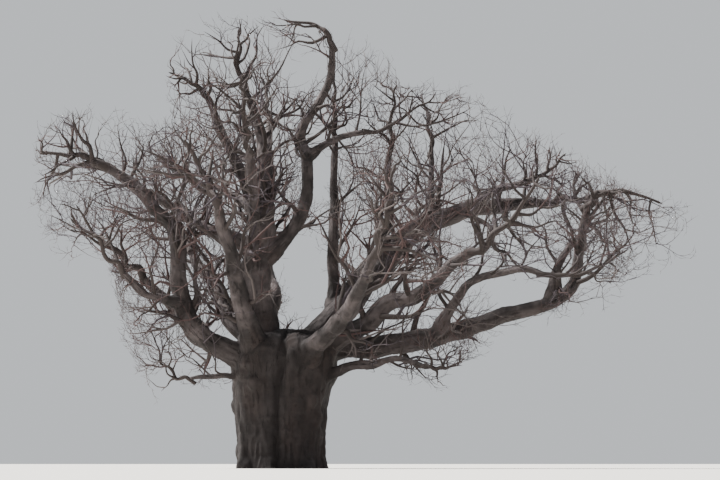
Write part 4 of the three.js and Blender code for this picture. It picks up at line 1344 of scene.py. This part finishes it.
no_faces = np.empty((0, 3), int)
total = 0
for space, limb in enumerate(crowned):
    points, edges, numbers = [], [], []
    for level, twigs in enumerate(levels):
        rows = np.flatnonzero(twigs["space"] == space)
        paths, radii = drawn_paths(twigs, level, rows)
        edges.append(path_edges(*paths.shape[:2], sum(map(len, points))))
        points.append(paths.reshape(-1, 3))
        tints = np.repeat(twigs["tint"][rows], paths.shape[1])
        numbers.append(np.stack([radii.ravel(), np.full(radii.size, level), tints]))
    mesh = mesh_of("twig_paths", np.concatenate(points), no_faces, np.concatenate(edges))
    for name, values in zip(("radius", "level", "tint"), np.concatenate(numbers, axis=1)):
        set_numbers(mesh, name, values)
    node = "twigs_" + limb["name"].replace("bough_", "")
    mesh = grown_mesh(object_of(mesh, "twig_paths"), twig_tree, twig_values)
    mesh.name = f"{node}_fine"
    mesh.shade_smooth()
    made = object_of(mesh, f"{node}_fine")
    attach(made, "root")
    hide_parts(node)
    triangles = len(mesh.loops) - 2 * len(mesh.polygons)
    total += triangles
    print(node, "has", triangles, "triangles")
print("all twigs together have", total, "triangles")

# %% [markdown]
# ## Floor and light
#
# The tree stands on a plain pale floor under soft light, as in a studio with white walls. A large,
# nearly white light comes from high on the left, a little behind the tree, and shows how round the
# limbs are. The pale surroundings fill the shadows.

# %% Set up the studio
FLOOR_SIZE = 900.0
FLOOR_COLOUR, WALL_COLOUR = "c4c1bb", "e8ecf0"
FLOOR_ROUGHNESS = 0.9
KEY_LIGHT_STRENGTH = 18.0
KEY_LIGHT_WIDTH = 6         # degrees, for soft edges of the shadows
KEY_LIGHT_COLOUR = (1.0, 0.98, 0.95)
KEY_LIGHT_AIM = (0.6, -0.2, -0.78)
WALL_LIGHT = 0.82

floor_mesh = mesh_of("floor", np.array([[-1, -1, 0], [1, -1, 0], [1, 1, 0], [-1, 1, 0]]) * FLOOR_SIZE / 2,
                     np.array([[0, 1, 2, 3]]))
floor = object_of(floor_mesh, "floor")
floor_paint = bpy.data.materials.new("pale_floor_paint")
floor_paint.use_nodes = True
shader = floor_paint.node_tree.nodes["Principled BSDF"]
shader.inputs["Base Color"].default_value = linear(FLOOR_COLOUR)
shader.inputs["Roughness"].default_value = FLOOR_ROUGHNESS
floor_mesh.materials.append(floor_paint)
floor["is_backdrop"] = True

key_light = bpy.data.lights.new("key_light", "SUN")
key_light.energy = KEY_LIGHT_STRENGTH
key_light.angle = math.radians(KEY_LIGHT_WIDTH)
key_light.color = KEY_LIGHT_COLOUR
key = object_of(key_light, "key_light")
key.rotation_euler = Vector(KEY_LIGHT_AIM).to_track_quat("-Z", "Y").to_euler()

world = bpy.data.worlds.new("studio")
bpy.context.scene.world = world
world.use_nodes = True
background = world.node_tree.nodes["Background"]
background.inputs["Color"].default_value = linear(WALL_COLOUR)
background.inputs["Strength"].default_value = WALL_LIGHT

# %% Print the sizes and finish
low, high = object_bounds()
print("the dressed tree reaches from", [round(v, 2) for v in low], "to", [round(v, 2) for v in high])
